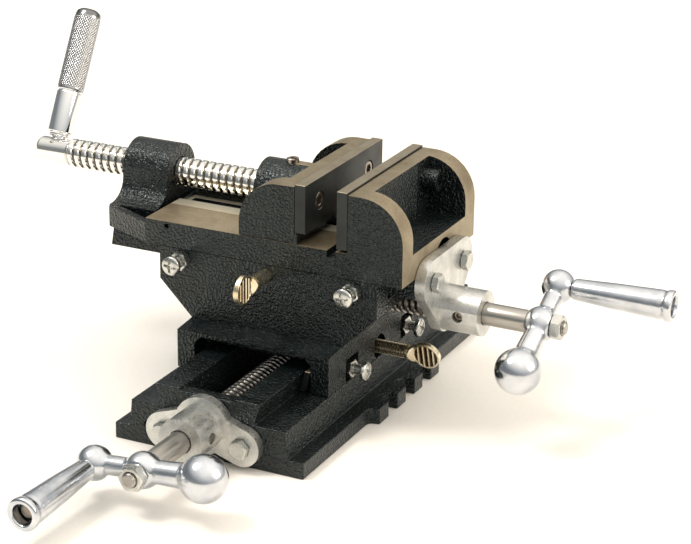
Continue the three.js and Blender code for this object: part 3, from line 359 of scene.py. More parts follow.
def enamelled_iron():
    """Sand-cast iron sprayed with gloss hammertone enamel: near-black, with 1 to 2 mm lumps that
    break each reflection into speckles. The attribute ground is 1 where the enamel has been
    machined off and tan-grey iron shows, and 2 on the rails beside the slot and the ledges in it,
    which are polished smooth and coloured near-white as a painted highlight."""
    material, tree = new_material("hammertone_enamel_on_cast_iron")
    coords = object_coords(tree)
    ground = add(tree, "ShaderNodeAttribute", attribute_name="ground").outputs["Fac"]
    bare = ramp(tree, ground, 0, 1)
    polish_and_highlight = ramp(tree, ground, 1, 2)

    lumps = ramp(tree, noise(tree, coords, 1.5, detail=1.0, roughness=0.4), 0.34, 0.66)
    sand = noise(tree, coords, 0.7, detail=2.0, roughness=0.6)
    drift = noise(tree, coords, 28, detail=3.0)
    enamel = blend(tree, ramp(tree, drift, 0.35, 0.65), linear("#080d0e"), linear("#111718"))

    lines = noise(tree, stretched(tree, coords, (0.06, 1, 1)), 0.35, detail=3.0)
    pits = noise(tree, coords, 0.9, detail=3.0, roughness=0.7)
    stain = noise(tree, coords, 16, detail=4.0, roughness=0.6)
    iron = blend(tree, ramp(tree, stain, 0.38, 0.66), linear("#a3937a"), linear("#86755b"))
    iron = blend(tree, ramp(tree, pits, 0.45, 0.7, 0, 0.6), iron, linear("#5c503f"))
    iron = blend(tree, ramp(tree, lines, 0.35, 0.7, 0, 0.4), iron, linear("#b7aa93"))
    # The near-white of the rails is a painted highlight, standing in for lamps reflected in the polished
    # iron.
    iron = blend(tree, polish_and_highlight, iron, linear("#efe6d0"))

    high = add(tree, "ShaderNodeMath", {0: lumps, 1: 0.75}, operation="MULTIPLY").outputs[0]
    hammer = add(
        tree, "ShaderNodeMath", {0: sand, 1: 0.25, 2: high}, operation="MULTIPLY_ADD",
    ).outputs[0]
    enamel_normal = add(
        tree, "ShaderNodeBump", {"Strength": 1.0, "Distance": 0.5 * MM, "Height": hammer},
    ).outputs[0]
    iron_normal = add(
        tree, "ShaderNodeBump", {"Strength": 0.4, "Distance": 0.05 * MM, "Height": pits},
    ).outputs[0]
    normal = add(
        tree, "ShaderNodeMix", {0: bare, 4: enamel_normal, 5: iron_normal}, data_type="VECTOR",
    ).outputs[1]

    rough_enamel = ramp(tree, drift, 0.3, 0.7, 0.15, 0.24)
    rough_iron = ramp(tree, polish_and_highlight, 0, 1, 0.42, 0.3)
    roughness = add(
        tree, "ShaderNodeMix", {0: bare, 2: rough_enamel, 3: rough_iron}, data_type="FLOAT",
    ).outputs[0]
    shade(
        tree, Base_Color=blend(tree, bare, enamel, iron), Normal=normal, Roughness=roughness,
        Specular_Tint=linear("#e9f3f3"),
        Metallic=add(tree, "ShaderNodeMath", {0: bare, 1: 0.75}, operation="MULTIPLY").outputs[0],
    )
    return material


def jaw_plate_steel():
    """Hardened steel with a black oxide skin, satin with a fine tooth. Where the attribute ground
    is 1, on the top edge, the wheel has cut through to tan-grey steel with lengthwise lines."""
    material, tree = new_material("black_oxide_hardened_steel")
    coords = object_coords(tree)
    ground = add(tree, "ShaderNodeAttribute", attribute_name="ground").outputs["Fac"]
    lines = noise(tree, stretched(tree, coords, (1, 0.05, 1)), 0.3, detail=3.0)
    tooth = noise(tree, coords, 0.8, detail=3.0, roughness=0.6)
    stain = noise(tree, coords, 14, detail=4.0, roughness=0.6)
    oxide = blend(tree, ramp(tree, stain, 0.35, 0.68), linear("#232827"), linear("#15191a"))
    bright = blend(tree, ramp(tree, stain, 0.38, 0.68), linear("#a19680"), linear("#877a64"))
    bright = blend(tree, ramp(tree, lines, 0.4, 0.7, 0, 0.5), bright, linear("#b9ae99"))
    normal = add(tree, "ShaderNodeBump", {"Strength": 0.5, "Distance": 0.09 * MM, "Height": tooth})
    shade(
        tree, Base_Color=blend(tree, ground, oxide, bright), Normal=normal.outputs[0],
        Metallic=ramp(tree, ground, 0, 1, 0.25, 0.8),
        Roughness=ramp(tree, stain, 0.3, 0.7, 0.32, 0.44),
    )
    return material


def plated(name, colour, worn_colour, low, high, grain_mm, bump_mm, metallic=1.0, groove_shade_colour=None):
    """A metal finish with a fine grain: two tones drift into one another over about a
    centimetre, and the grain sets its roughness and a very shallow relief. Grooves that carry the
    attribute hollow are darkened with a painted shade colour."""
    material, tree = new_material(name)
    coords = object_coords(tree)
    drift = noise(tree, coords, 11, detail=3.0)
    grain = noise(tree, coords, grain_mm, detail=3.0, roughness=0.6)
    tone = blend(tree, ramp(tree, drift, 0.35, 0.68), linear(colour), linear(worn_colour))
    if groove_shade_colour:
        # Painted shade: the bottoms of the grooves are darkened towards the given colour.
        groove = add(tree, "ShaderNodeAttribute", attribute_name="hollow").outputs["Fac"]
        tone = blend(tree, ramp(tree, groove, 0.2, 0.8), tone, linear(groove_shade_colour))
    normal = add(
        tree, "ShaderNodeBump", {"Strength": 0.5, "Distance": bump_mm * MM, "Height": grain},
    )
    shade(
        tree, Base_Color=tone, Metallic=metallic, Normal=normal.outputs[0],
        Roughness=ramp(tree, grain, 0.3, 0.7, low, high),
    )
    return material


def root_shaded_metal(name, point, direction, plain_from, root_mm, crest_mm, dark, bright, low, high):
    """A turned metal that is darker towards the roots of its grooves, as painted shade, and
    lighter on the crests: the tone follows each point's distance from the piece's axis, between a
    root and a crest radius, with a little random grime. Further along the axis than plain_from,
    in metres, the bar is plain and bright all over."""
    material, tree = new_material(name)
    coords = object_coords(tree)
    back = tuple(-float(value) for value in point)
    axis = tuple(float(value) for value in direction)
    moved = add(tree, "ShaderNodeVectorMath", {0: coords, 1: back}, operation="ADD").outputs[0]
    across = add(tree, "ShaderNodeVectorMath", {0: moved, 1: axis}, operation="CROSS_PRODUCT").outputs[0]
    radius = add(tree, "ShaderNodeVectorMath", {0: across}, operation="LENGTH").outputs["Value"]
    along = add(tree, "ShaderNodeVectorMath", {0: moved, 1: axis}, operation="DOT_PRODUCT").outputs["Value"]
    plain = ramp(tree, along, plain_from - 0.3 * MM, plain_from + 0.3 * MM)
    crest = ramp(tree, radius, root_mm * MM, crest_mm * MM)
    crest = add(tree, "ShaderNodeMath", {0: crest, 1: plain}, operation="MAXIMUM").outputs[0]
    grime = noise(tree, coords, 2.5, detail=3.0)
    mixed = add(
        tree, "ShaderNodeMath", {0: grime, 1: 0.4, 2: crest}, operation="MULTIPLY_ADD",
    ).outputs[0]
    # The dark colour in the roots is painted shade; the grime noise only varies it at random.
    tone = blend(tree, ramp(tree, mixed, 0.3, 0.95), linear(dark), linear(bright))
    scratches = noise(tree, coords, 0.4, detail=2.0)
    normal = add(tree, "ShaderNodeBump", {"Strength": 0.3, "Distance": 0.03 * MM, "Height": scratches})
    shade(
        tree, Base_Color=tone, Metallic=1.0, Normal=normal.outputs[0],
        Roughness=ramp(tree, crest, 0, 1, high, low),
    )
    return material


def floor_paper():
    """A roll of matt studio paper, warm white with a faint fibre."""
    material, tree = new_material("matt_background_paper")
    coords = object_coords(tree)
    fibre = noise(tree, coords, 3, detail=4.0)
    drift = noise(tree, coords, 180, detail=2.0)
    tone = blend(tree, ramp(tree, drift, 0.35, 0.65), linear("#f3f0ea"), linear("#efebe6"))
    tone = blend(tree, ramp(tree, fibre, 0.4, 0.7, 0, 0.25), tone, linear("#e6e1da"))
    normal = add(tree, "ShaderNodeBump", {"Strength": 0.1, "Distance": 0.2 * MM, "Height": fibre})
    shade(tree, Base_Color=tone, Roughness=0.85, Normal=normal.outputs[0])
    return material


ENAMEL = enamelled_iron()
PLATE_STEEL = jaw_plate_steel()
DIE_CAST = plated("spangled_zinc_plate", "#d4d4d0", "#b4b5b3", 0.24, 0.42, 1.6, 0.09, 0.95)
POLISHED = plated("polished_aluminium", "#d6d8dc", "#bdc1c8", 0.14, 0.26, 0.9, 0.03)
PLAIN_STEEL = plated("bare_turned_steel", "#a49b90", "#857b6e", 0.24, 0.4, 0.5, 0.03)
BRIGHT_ZINC = plated("bright_zinc_plate", "#cfcfca", "#b5b6b2", 0.16, 0.32, 0.7, 0.03)
# The dark brown is painted shade in the paddle's rib valleys and the thread's roots.
YELLOW_ZINC = plated(
    "yellow_passivated_zinc", "#efe6cf", "#d9c69f", 0.2, 0.34, 0.7, 0.03, groove_shade_colour="#4a3a26",
)
BRONZE = plated("cast_bronze", "#a5854c", "#8a6a38", 0.3, 0.5, 0.8, 0.06)


# ---------------------------------------------------------------------------------------
# Castings and plates: the solid's own shape, with its edges rounded
# ---------------------------------------------------------------------------------------

def cast_piece(node, material, rounding, ground=None, lines=()):
    """Copies a node's solid, merges its coplanar triangles and rounds its edges. The rule ground
    gives each face's attribute from its middle and normal in millimetres. Lines are y values
    along which the faces are divided first, so that one side can be finished differently."""
    mesh = frame["nodes"][node].data.copy()
    mesh.name = node + "_detail"
    tidy = bmesh.new()
    tidy.from_mesh(mesh)
    bmesh.ops.remove_doubles(tidy, verts=tidy.verts, dist=1e-5)
    bmesh.ops.dissolve_limit(
        tidy, angle_limit=math.radians(0.5), verts=tidy.verts, edges=tidy.edges,
    )
    for line in lines:
        everything = tidy.verts[:] + tidy.edges[:] + tidy.faces[:]
        bmesh.ops.bisect_plane(tidy, geom=everything, plane_co=(0, line * MM, 0), plane_no=(0, 1, 0))
    tidy.to_mesh(mesh)
    tidy.free()
    faces = len(mesh.polygons)
    middles = np.empty(faces * 3)
    normals = np.empty(faces * 3)
    mesh.polygons.foreach_get("center", middles)
    mesh.polygons.foreach_get("normal", normals)
    chosen = np.zeros(faces)
    if ground is not None:
        chosen = ground(middles.reshape(-1, 3) / MM, normals.reshape(-1, 3)).astype(float)
    layer = mesh.attributes.new("ground", "FLOAT", "FACE")
    layer.data.foreach_set("value", chosen.astype(np.float32))
    piece = finish_piece(mesh, node, material)
    bevel = piece.modifiers.new("edge_rounding", "BEVEL")
    bevel.width = rounding * MM
    bevel.segments = 3
    bevel.limit_method = "ANGLE"
    bevel.angle_limit = math.radians(SMOOTH_BELOW)
    bevel.use_clamp_overlap = True
    bevel.harden_normals = True
    bevel.miter_outer = "MITER_ARC"
    return piece


BED_TOP = 105.5
LEDGE_TOP = 101.0
JAW_TOP = 139.0
FIXED_BACK_RADIUS = 25.1
RAIL_EDGE = 20.8  # from the vise's middle line to the outer edge of the rubbed rails
VISE_MIDDLE = float(centre("vise_casting")[1]) / MM


def vise_ground_faces(middle, normal):
    """The bed's top and the fixed jaw's top, curved back and right side are ground. The rails
    beside the slot, and the ledges in it, get value 2: polished, with a painted highlight."""
    low, high = (np.array(corner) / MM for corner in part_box("vise_casting"))
    upward = normal[:, 2] > 0.95
    inboard = np.abs(middle[:, 1] - VISE_MIDDLE) < RAIL_EDGE
    bed = upward & (np.abs(middle[:, 2] - BED_TOP) < 0.4)
    ledges = upward & (np.abs(middle[:, 2] - LEDGE_TOP) < 0.4)
    arc_x, arc_z = high[0] - FIXED_BACK_RADIUS, high[2] - FIXED_BACK_RADIUS
    from_arc = np.hypot(middle[:, 0] - arc_x, middle[:, 2] - arc_z)
    on_arc = (np.abs(from_arc - FIXED_BACK_RADIUS) < 0.6) & (middle[:, 0] > arc_x - 0.5)
    on_top = upward & (middle[:, 2] > high[2] - 0.5)
    on_side = (normal[:, 0] > 0.95) & (middle[:, 0] > high[0] - 0.5)
    curved = np.abs(normal[:, 1]) < 0.3
    ground = bed | (curved & (on_arc | on_top | on_side))
    # Value 2 marks the polished rails and ledges, which carry the painted highlight.
    return np.where((bed & inboard) | ledges, 2, ground)


def jaw_ground_faces(middle, normal):
    """The movable jaw's top and the upper part of its curved back."""
    top = (normal[:, 2] > 0.95) & (np.abs(middle[:, 2] - JAW_TOP) < 0.5)
    back = (np.abs(normal[:, 1]) < 0.2) & (normal[:, 2] > 0.35) & (middle[:, 2] > 122)
    return top | (back & (middle[:, 0] > -14))


def top_faces(_, normal):
    """A plate's top edge, wherever its middle lies."""
    return normal[:, 2] > 0.95


cast_piece("base_casting", ENAMEL, CASTING_ROUNDING)
cast_piece("saddle_casting", ENAMEL, CASTING_ROUNDING)
cast_piece(
    "vise_casting", ENAMEL, CASTING_ROUNDING, vise_ground_faces,
    (VISE_MIDDLE - RAIL_EDGE, VISE_MIDDLE + RAIL_EDGE),
)
cast_piece("movable_jaw_casting", ENAMEL, CASTING_ROUNDING, jaw_ground_faces)
for node in ("lower_bracket", "upper_bracket"):
    cast_piece(node, DIE_CAST, BRACKET_ROUNDING)
for node in ("fixed_jaw_plate", "movable_jaw_plate", "lower_gib", "upper_gib"):
    cast_piece(node, PLATE_STEEL, GROUND_ROUNDING, top_faces)
for node in ("lower_screw_nut", "upper_screw_nut"):
    cast_piece(node, BRONZE, GROUND_ROUNDING)
cast_piece("jaw_keeper_plate", PLAIN_STEEL, GROUND_ROUNDING)


# ---------------------------------------------------------------------------------------
# Lead screws and their cranks
# ---------------------------------------------------------------------------------------

def lead_screw(node, mount, wall, thread_end, hub_at, material):
    """A turned screw: a threaded bar, a journal with a groove for the set screw, then a stub
    with a finer thread for the crank's nut."""
    thread_start = -(wall + 2.2)
    shoulder = hub_at - HUB_FLAT - 0.3
    stub_end = hub_at + HUB_FLAT + 8.3
    profile = rounded([
        (0, -thread_end),
        (LEAD_RADIUS - 1.6, -thread_end),
        (LEAD_RADIUS, -thread_end + 1.6),
        (LEAD_RADIUS, thread_start),
        (JOURNAL_RADIUS, thread_start),
        (JOURNAL_RADIUS, SET_SCREW_AT - 2.5),
        (GROOVE_RADIUS, SET_SCREW_AT - 2.4),
        (GROOVE_RADIUS, SET_SCREW_AT + 2.4),
        (JOURNAL_RADIUS, SET_SCREW_AT + 2.5),
        (JOURNAL_RADIUS, shoulder),
        (STUB_RADIUS, shoulder + 0.1),
        (STUB_RADIUS, stub_end - 0.8),
        (STUB_RADIUS - 0.8, stub_end),
        (0, stub_end),
    ], 0.4)
    profile[1:, 1] = np.maximum.accumulate(profile[1:, 1])
    grid = threaded_grid(profile, 44, [
        (-thread_end, thread_start, LEAD_PITCH, LEAD_DEPTH),
        (shoulder + 0.5, stub_end, NUT_THREAD_PITCH, NUT_THREAD_DEPTH),
    ])
    mesh = mesh_of_grid(node + "_detail", put(mount, grid))
    return finish_piece(mesh, node, material)


def crank_arm(node, hub, reach):
    """A cast arm turned about its own length: at each station its radius joins three balls and
    two necks by the eighth root of the sum of their eighth powers, which leaves a small fillet
    at each ball. The hub and the grip's ball are then faced flat."""
    power = 8
    first, last = -WEIGHT_REACH - WEIGHT_BALL_RADIUS, reach + GRIP_BALL_RADIUS
    middle, half = (first + last) / 2, (last - first) / 2
    along = middle + half * np.sin(np.linspace(-1, 1, 170) * math.pi / 2)
    total = np.zeros_like(along)
    balls = ((0, HUB_RADIUS), (reach, GRIP_BALL_RADIUS), (-WEIGHT_REACH, WEIGHT_BALL_RADIUS))
    for where, radius in balls:
        inside = np.maximum(radius ** 2 - (along - where) ** 2, 0)
        total += inside ** (power / 2)
    thin = np.where((along > 0) & (along < reach), THIN_NECK, 0)
    thick_taper = np.interp(-along, (0, WEIGHT_REACH), (THICK_NECK - 0.3, THICK_NECK + 0.9))
    thick = np.where((along < 0) & (along > -WEIGHT_REACH), thick_taper, 0)
    radius = (total + thin ** power + thick ** power) ** (1 / power)
    turn = angles(56)
    x = np.broadcast_to(along[:, None], (len(along), len(turn)))
    y = radius[:, None] * np.cos(turn)
    z = radius[:, None] * np.sin(turn)
    near_hub = np.abs(x) < HUB_RADIUS
    near_grip = x > reach - GRIP_BALL_RADIUS
    z = np.where(near_hub, np.clip(z, -HUB_FLAT, HUB_FLAT), z)
    z = np.where(near_grip, np.minimum(z, GRIP_FLAT), z)
    mesh = mesh_of_grid(node + "_detail", put(hub, np.stack([x, y, z], -1)))
    return finish_piece(mesh, node, POLISHED, 50)


def grip_sleeve(node, grip):
    """A tapered tube with a beaded lip and a deep mouth at its wide end, turned as one loop."""
    start, end = GRIP_FLAT + 0.4, GRIP_FLAT + 59.4
    profile = rounded([
        (3.4, start + 2),
        (3.4, start),
        (5.3, start),
        (6.1, start + 1.2),
        (7.4, start + 24),
        (8.5, end - 8),
        (8.2, end - 5.4),
        (9.1, end - 3.6),
        (9.1, end - 0.8),
        (7.8, end),
        (6.1, end - 0.2),
        (5.6, end - 1.4),
        (5.4, end - 9),
        (3.4, end - 9),
        (3.4, start + 2.01),
    ], 0.8)
    grid = turned_grid(profile, 64)
    mesh = mesh_of_grid(node + "_detail", put(grip, grid), loop=True)
    return finish_piece(mesh, node, POLISHED, 60)


def grip_bolt(node, grip):
    """A shouldered bolt: a plain shank and a shallow domed head deep in the sleeve's mouth."""
    head = GRIP_FLAT + 51
    profile = rounded([
        (0, -8.4), (2.9, -8.4), (2.9, head), (4.5, head + 0.1), (4.5, head + 2.2),
        (3.2, head + 3.2), (0, head + 3.5),
    ], 0.4)
    mesh = mesh_of_grid(node + "_detail", put(grip, turned_grid(profile, 40)))
    return finish_piece(mesh, node, PLAIN_STEEL)


def hex_nut(node, where, flats, low, high, bore, material):
    """A nut: a hexagon between two cones that trim its corners at 30 degrees, and a bore."""
    sides = 48
    hexagonal = hexagon(flats, sides)
    trim = (hexagonal - flats / 2 * 0.97) * math.tan(math.radians(30))
    rows = [
        (bore, low + 0.5), (bore + 0.5, low), (flats / 2 * 0.96, low), (hexagonal, low + trim),
        (hexagonal, high - trim), (flats / 2 * 0.96, high), (bore + 0.5, high), (bore, high - 0.5),
    ]
    mesh = mesh_of_grid(node + "_detail", put(where, stack_rows(rows, sides)), loop=True)
    return finish_piece(mesh, node, material, 25)


def hex_bolt(node, where, flats, shank, length, head):
    """A hexagon head with trimmed corners and a washer face, on a plain shank."""
    sides = 48
    hexagonal = hexagon(flats, sides)
    trim = (hexagonal - flats / 2 * 0.95) * math.tan(math.radians(30))
    rows = [
        (0, -length), (shank - 0.5, -length), (shank, -length + 0.5), (shank, 0),
        (flats / 2 * 0.92, 0), (flats / 2 * 0.92, 0.3), (hexagonal, 0.35), (hexagonal, head - trim),
        (flats / 2 * 0.94, head), (flats / 2 * 0.7, head - 0.15), (0, head - 0.2),
    ]
    mesh = mesh_of_grid(node + "_detail", put(where, stack_rows(rows, sides)))
    return finish_piece(mesh, node, BRIGHT_ZINC, 25)


def ring(node, where, inner, outer, low, high, material):
    """A flat washer with broken edges."""
    corners = [(inner, low), (outer, low), (outer, high), (inner, high)]
    profile = rounded(corners + corners[:2], 0.3)[4:-1]
    mesh = mesh_of_grid(node + "_detail", put(where, turned_grid(profile, 56)), loop=True)
    return finish_piece(mesh, node, material)


def set_screw(node, where, tip, tail):
    """A headless screw with a dog point and a hexagon socket in its tail."""
    sides = 36
    socket = hexagon(3, sides)
    rows = [
        (0, tip), (1.6, tip), (1.8, tip + 0.3), (1.8, 7), (3, 7.2), (3, tail - 0.4), (2.6, tail),
        (socket + 0.15, tail), (socket, tail - 0.2), (socket, tail - 2), (0, tail - 2.3),
    ]
    mesh = mesh_of_grid(node + "_detail", put(where, stack_rows(rows, sides)))
    return finish_piece(mesh, node, PLAIN_STEEL, 25)


SCREWS = (
    # prefix, outward way, wall behind the mount, thread's far end, bracket's hole way
    ("lower", FRONT, 8.0, 220.0, RIGHT),
    ("upper", RIGHT, 0.0, 149.6, FRONT),
)

for prefix, outward, wall, thread_end, hole_way in SCREWS:
    out = np.array(outward, float)
    hub_point = np.array(RECORD_JOINTS[prefix + "_screw_turn"]["pos_m"])
    grip_point = np.array(RECORD_JOINTS[prefix + "_grip_spin"]["pos_m"])
    to_grip = grip_point - hub_point
    to_grip -= out * np.dot(to_grip, out)
    grip_reach = float(np.linalg.norm(to_grip)) / MM

    bracket_low, bracket_high = (np.array(corner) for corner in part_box(prefix + "_bracket"))
    back_face = min(np.dot(bracket_low, out), np.dot(bracket_high, out)) - 0.3 * MM
    mount_point = hub_point + out * (back_face - np.dot(hub_point, out))
    hub_at = float(np.dot(hub_point - mount_point, out)) / MM

    mount = place(mount_point, out, to_grip)
    hub = place(hub_point, out, to_grip)
    grip = place(hub_point + to_grip, out, to_grip)

    # The first colour is the painted shade in the thread's roots, the second the bare steel.
    screw_material = root_shaded_metal(
        f"shade_painted_{prefix}_lead_screw", mount_point, outward, -(wall + 2.2) * MM, 6.4, 7.9,
        "#2b2723", "#aaa6a0", 0.28, 0.5,
    )
    lead_screw(prefix + "_lead_screw", mount, wall, thread_end, hub_at, screw_material)
    ring(
        prefix + "_thrust_washer", mount, JOURNAL_RADIUS + 0.3, 9.5, -(wall + 1.9), -(wall + 0.3),
        PLAIN_STEEL,
    )
    crank_arm(prefix + "_crank_arm", hub, grip_reach)
    grip_bolt(prefix + "_grip_bolt", grip)
    grip_sleeve(prefix + "_grip_sleeve", grip)
    hex_nut(
        prefix + "_crank_nut", hub, CRANK_NUT_FLATS, HUB_FLAT + 0.3,
        HUB_FLAT + 0.3 + CRANK_NUT_THICK, STUB_RADIUS + 0.1, BRIGHT_ZINC,
    )
    set_screw(
        prefix + "_bracket_set_screw",
        place(mount_point + out * SET_SCREW_AT * MM, hole_way, outward), 5.4, 10.2,
    )
    for letter in "ab":
        node = f"{prefix}_bracket_bolt_{letter}"
        low, high = (np.array(corner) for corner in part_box(node))
        middle = (low + high) / 2
        head_top = max(np.dot(low, out), np.dot(high, out))
        seat = middle + out * (head_top - BOLT_HEAD * MM - np.dot(middle, out))
        hex_bolt(
            node, place(seat, out, (0.3, 0.4, 1)), BOLT_FLATS, BOLT_SHANK, BOLT_LENGTH, BOLT_HEAD,
        )


# ---------------------------------------------------------------------------------------
# Gib screws, lock screws and their nuts
# ---------------------------------------------------------------------------------------

def cross_slotted_screw(node, where, depth, reach, shank, head, thick):
    """A pan-head screw. Its head's top is a dome, sunk inside two crossed slots: a point is in a
    slot when it is near one of the two lines and near enough to the middle."""
    sides = 96
    turn = angles(sides)
    head_low = reach - thick
    top_radii = np.linspace(head * 0.97, 0, 34)
    radius = np.broadcast_to(top_radii[:, None], (len(top_radii), sides))
    dome = head_low + thick * 0.55 + thick * 0.45 * np.sqrt(1 - (radius / head) ** 2)
    x, y = radius * np.cos(turn), radius * np.sin(turn)
    from_line = np.minimum(np.abs(x), np.abs(y))
    width = 0.95 - 0.1 * radius
    in_arm = np.clip((width - from_line) / 0.25 + 0.5, 0, 1)
    in_middle = np.clip((head * 0.66 - radius) / 0.4 + 0.5, 0, 1)
    dome = dome - 1.7 * in_arm * in_middle
    top = np.stack([x, y, dome], -1)
    profile = rounded([
        (0, -depth), (shank - 0.6, -depth), (shank, -depth + 0.6), (shank, head_low),
        (head - 0.3, head_low + 0.05), (head, head_low + 0.6), (head, head_low + thick * 0.5),
    ], 0.25)
    profile[1:, 1] = np.maximum.accumulate(profile[1:, 1])
    body = threaded_grid(profile, sides, [(-depth, head_low, SMALL_THREAD_PITCH, SMALL_THREAD_DEPTH)])
    mesh = mesh_of_grid(node + "_detail", put(where, np.vstack([body, top])))
    finish_piece(mesh, node, BRIGHT_ZINC, 40)


def spade_screw(node, where, low, high, threaded):
    """A lock screw with a flat round paddle. Each section across its axis is a superellipse with
    half-width a in the paddle's plane and half-thickness b: a circle on the shank, then a swells
    into the neck and follows the paddle's circle, while b thins and the section squares up.
    Ribs across the paddle's faces are cut by a triangle wave of the distance along the axis."""
    sides = 144
    turn = angles(sides)
    middle = high - PADDLE_RADIUS
    neck = middle - PADDLE_RADIUS - 2.5
    shank_rows = np.arange(low + LOCK_CHAMFER + 0.1, neck, SMALL_THREAD_PITCH / 10)
    shank_rows = np.concatenate([[low, low + LOCK_CHAMFER], shank_rows])
    tip_rows = middle + PADDLE_RADIUS * np.sin(np.linspace(0, math.pi / 2, 40))
    neck_rows = np.arange(neck, middle, 0.12)
    height = np.concatenate([shank_rows, neck_rows, tip_rows])[:, None]

    from_middle = np.clip(height - middle, -PADDLE_RADIUS, PADDLE_RADIUS)
    disc = np.sqrt(PADDLE_RADIUS ** 2 - from_middle ** 2)
    swell = np.interp(height, (neck, middle - NECK_REACH), (LOCK_SHANK - 0.2, NECK_HALF_WIDTH))
    share = np.clip((height - neck) / 4.5, 0, 1)
    share = share * share * (3 - 2 * share)
    wide = np.where(height < middle - NECK_REACH, swell, disc)
    wide = np.where(height < neck, LOCK_SHANK, wide)
    thick = LOCK_SHANK + (PADDLE_HALF_THICK - LOCK_SHANK) * share
    power = 2 / (2 + 6 * share)
    along_x = np.sign(np.cos(turn)) * np.abs(np.cos(turn)) ** power
    along_y = np.sign(np.sin(turn)) * np.abs(np.sin(turn)) ** power

    cut = np.zeros((len(height), sides))
    on_shank = height[:, 0] < threaded
    cut[on_shank] = thread_cut(
        height[on_shank], turn, SMALL_THREAD_PITCH, SMALL_THREAD_DEPTH * 1.3, low, threaded,
    )
    start = np.minimum(height - low - LOCK_CHAMFER, 0)
    x = (wide - cut + start) * along_x
    y = (thick - cut + start) * along_y

    wave = np.abs(2 * np.mod((height - middle) / RIB_PITCH, 1) - 1)
    inside = np.clip((PADDLE_RADIUS - 1.1 - np.hypot(x, from_middle)) / 0.4, 0, 1)
    inside = inside * np.clip((height - middle + PADDLE_RADIUS - 1) / 0.5, 0, 1)
    valley = inside * np.clip(1.5 * wave, 0, 1)
    y = y * (1 - RIB_DEPTH * valley)
    grid = np.stack([x, y, np.broadcast_to(height, x.shape)], -1)
    pole = np.broadcast_to(np.array([0, 0, low]), (1, sides, 3))
    # hollow drives the painted shade in the rib valleys and the thread's roots.
    hollow = np.vstack([np.zeros((1, sides)), np.maximum(valley, cut / SMALL_THREAD_DEPTH)])
    mesh = mesh_of_grid(node + "_detail", put(where, np.vstack([pole, grid])), hollow=hollow)
    finish_piece(mesh, node, YELLOW_ZINC, 40)


def along_axis(node, outward):
    """The node's middle line and its two ends along the outward way, in millimetres."""
    out = np.array(outward, float)
    low, high = (np.array(corner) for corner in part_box(node))
    ends = sorted((np.dot(low, out) / MM, np.dot(high, out) / MM))
    middle = (low + high) / 2
    return middle - out * np.dot(middle, out), ends


GIB_PAIRS = (
    ("lower_gib", RIGHT, "front"), ("lower_gib", RIGHT, "rear"),
    ("upper_gib", FRONT, "left"), ("upper_gib", FRONT, "right"),
)
for number, (prefix, outward, place_name) in enumerate(GIB_PAIRS):
    nut, screw = f"{prefix}_nut_{place_name}", f"{prefix}_screw_{place_name}"
    axis_point, (low, high) = along_axis(nut, outward)
    start = place(axis_point, outward, (0.2 + 0.3 * number, 0.5, 1.0))
    hex_nut(
        nut, start, JAM_NUT_FLATS, low, high, GIB_SHANK + 0.1, BRIGHT_ZINC,
    )
    axis_point, (low, high) = along_axis(screw, outward)
    start = place(axis_point, outward, (0.7 - 0.3 * number, 0.6, 1.0))
    cross_slotted_screw(screw, start, -low, high, GIB_SHANK, GIB_HEAD_RADIUS, GIB_HEAD_THICK)

for node, outward, paddle_way in (
    ("lower_lock_screw", RIGHT, (0, 0.292, -0.956)), ("upper_lock_screw", FRONT, UP),
):
    axis_point, (low, high) = along_axis(node, outward)
    lower = node.startswith("lower")
    thread_to = high - LOWER_LOCK_PLAIN if lower else low + UPPER_LOCK_THREADED
    spade_screw(node, place(axis_point, outward, paddle_way), low, high, thread_to)


# ---------------------------------------------------------------------------------------
# Socket screws, the retaining screw and the handle's pin
# ---------------------------------------------------------------------------------------

def socket_screw(node, outward, head, shank, socket_flats, material):
    """A cap screw: a round head with a hexagon socket, on a plain shank."""
    sides = 48
    axis_point, (low, high) = along_axis(node, outward)
    socket = hexagon(socket_flats, sides)
    head_low = high - (3.4 if node.startswith("keeper") else 5.0)
    rows = [
        (0, low), (shank - 0.5, low), (shank, low + 0.5), (shank, head_low), (head - 0.3, head_low),
        (head, head_low + 0.3), (head, high - 0.6), (head - 0.5, high), (socket + 0.3, high),
        (socket, high - 0.3), (socket, high - 2.4), (socket * 0.8, high - 2.6), (0, high - 2.9),
    ]
    grid = put(place(axis_point, outward, (0.3, 0.5, 0.9)), stack_rows(rows, sides))
    finish_piece(mesh_of_grid(node + "_detail", grid), node, material, 30)


SOCKET_SCREWS = (
    ("fixed_plate_screw_near", LEFT, "plain_steel", PLAIN_STEEL),
    ("fixed_plate_screw_far", LEFT, "plain_steel", PLAIN_STEEL),
    ("movable_plate_screw_near", RIGHT, "plain_steel", PLAIN_STEEL),
    ("movable_plate_screw_far", RIGHT, "plain_steel", PLAIN_STEEL),
    ("lower_nut_screw", UP, "bright_zinc", BRIGHT_ZINC),
    ("upper_nut_screw", DOWN, "bright_zinc", BRIGHT_ZINC),
    ("keeper_screw_rear", DOWN, "bright_zinc", BRIGHT_ZINC),
    ("keeper_screw_front", DOWN, "bright_zinc", BRIGHT_ZINC),
)
for node, outward, slot, material in SOCKET_SCREWS:
    socket_screw(node, outward, 5.0, 3.0, 5.0, material)


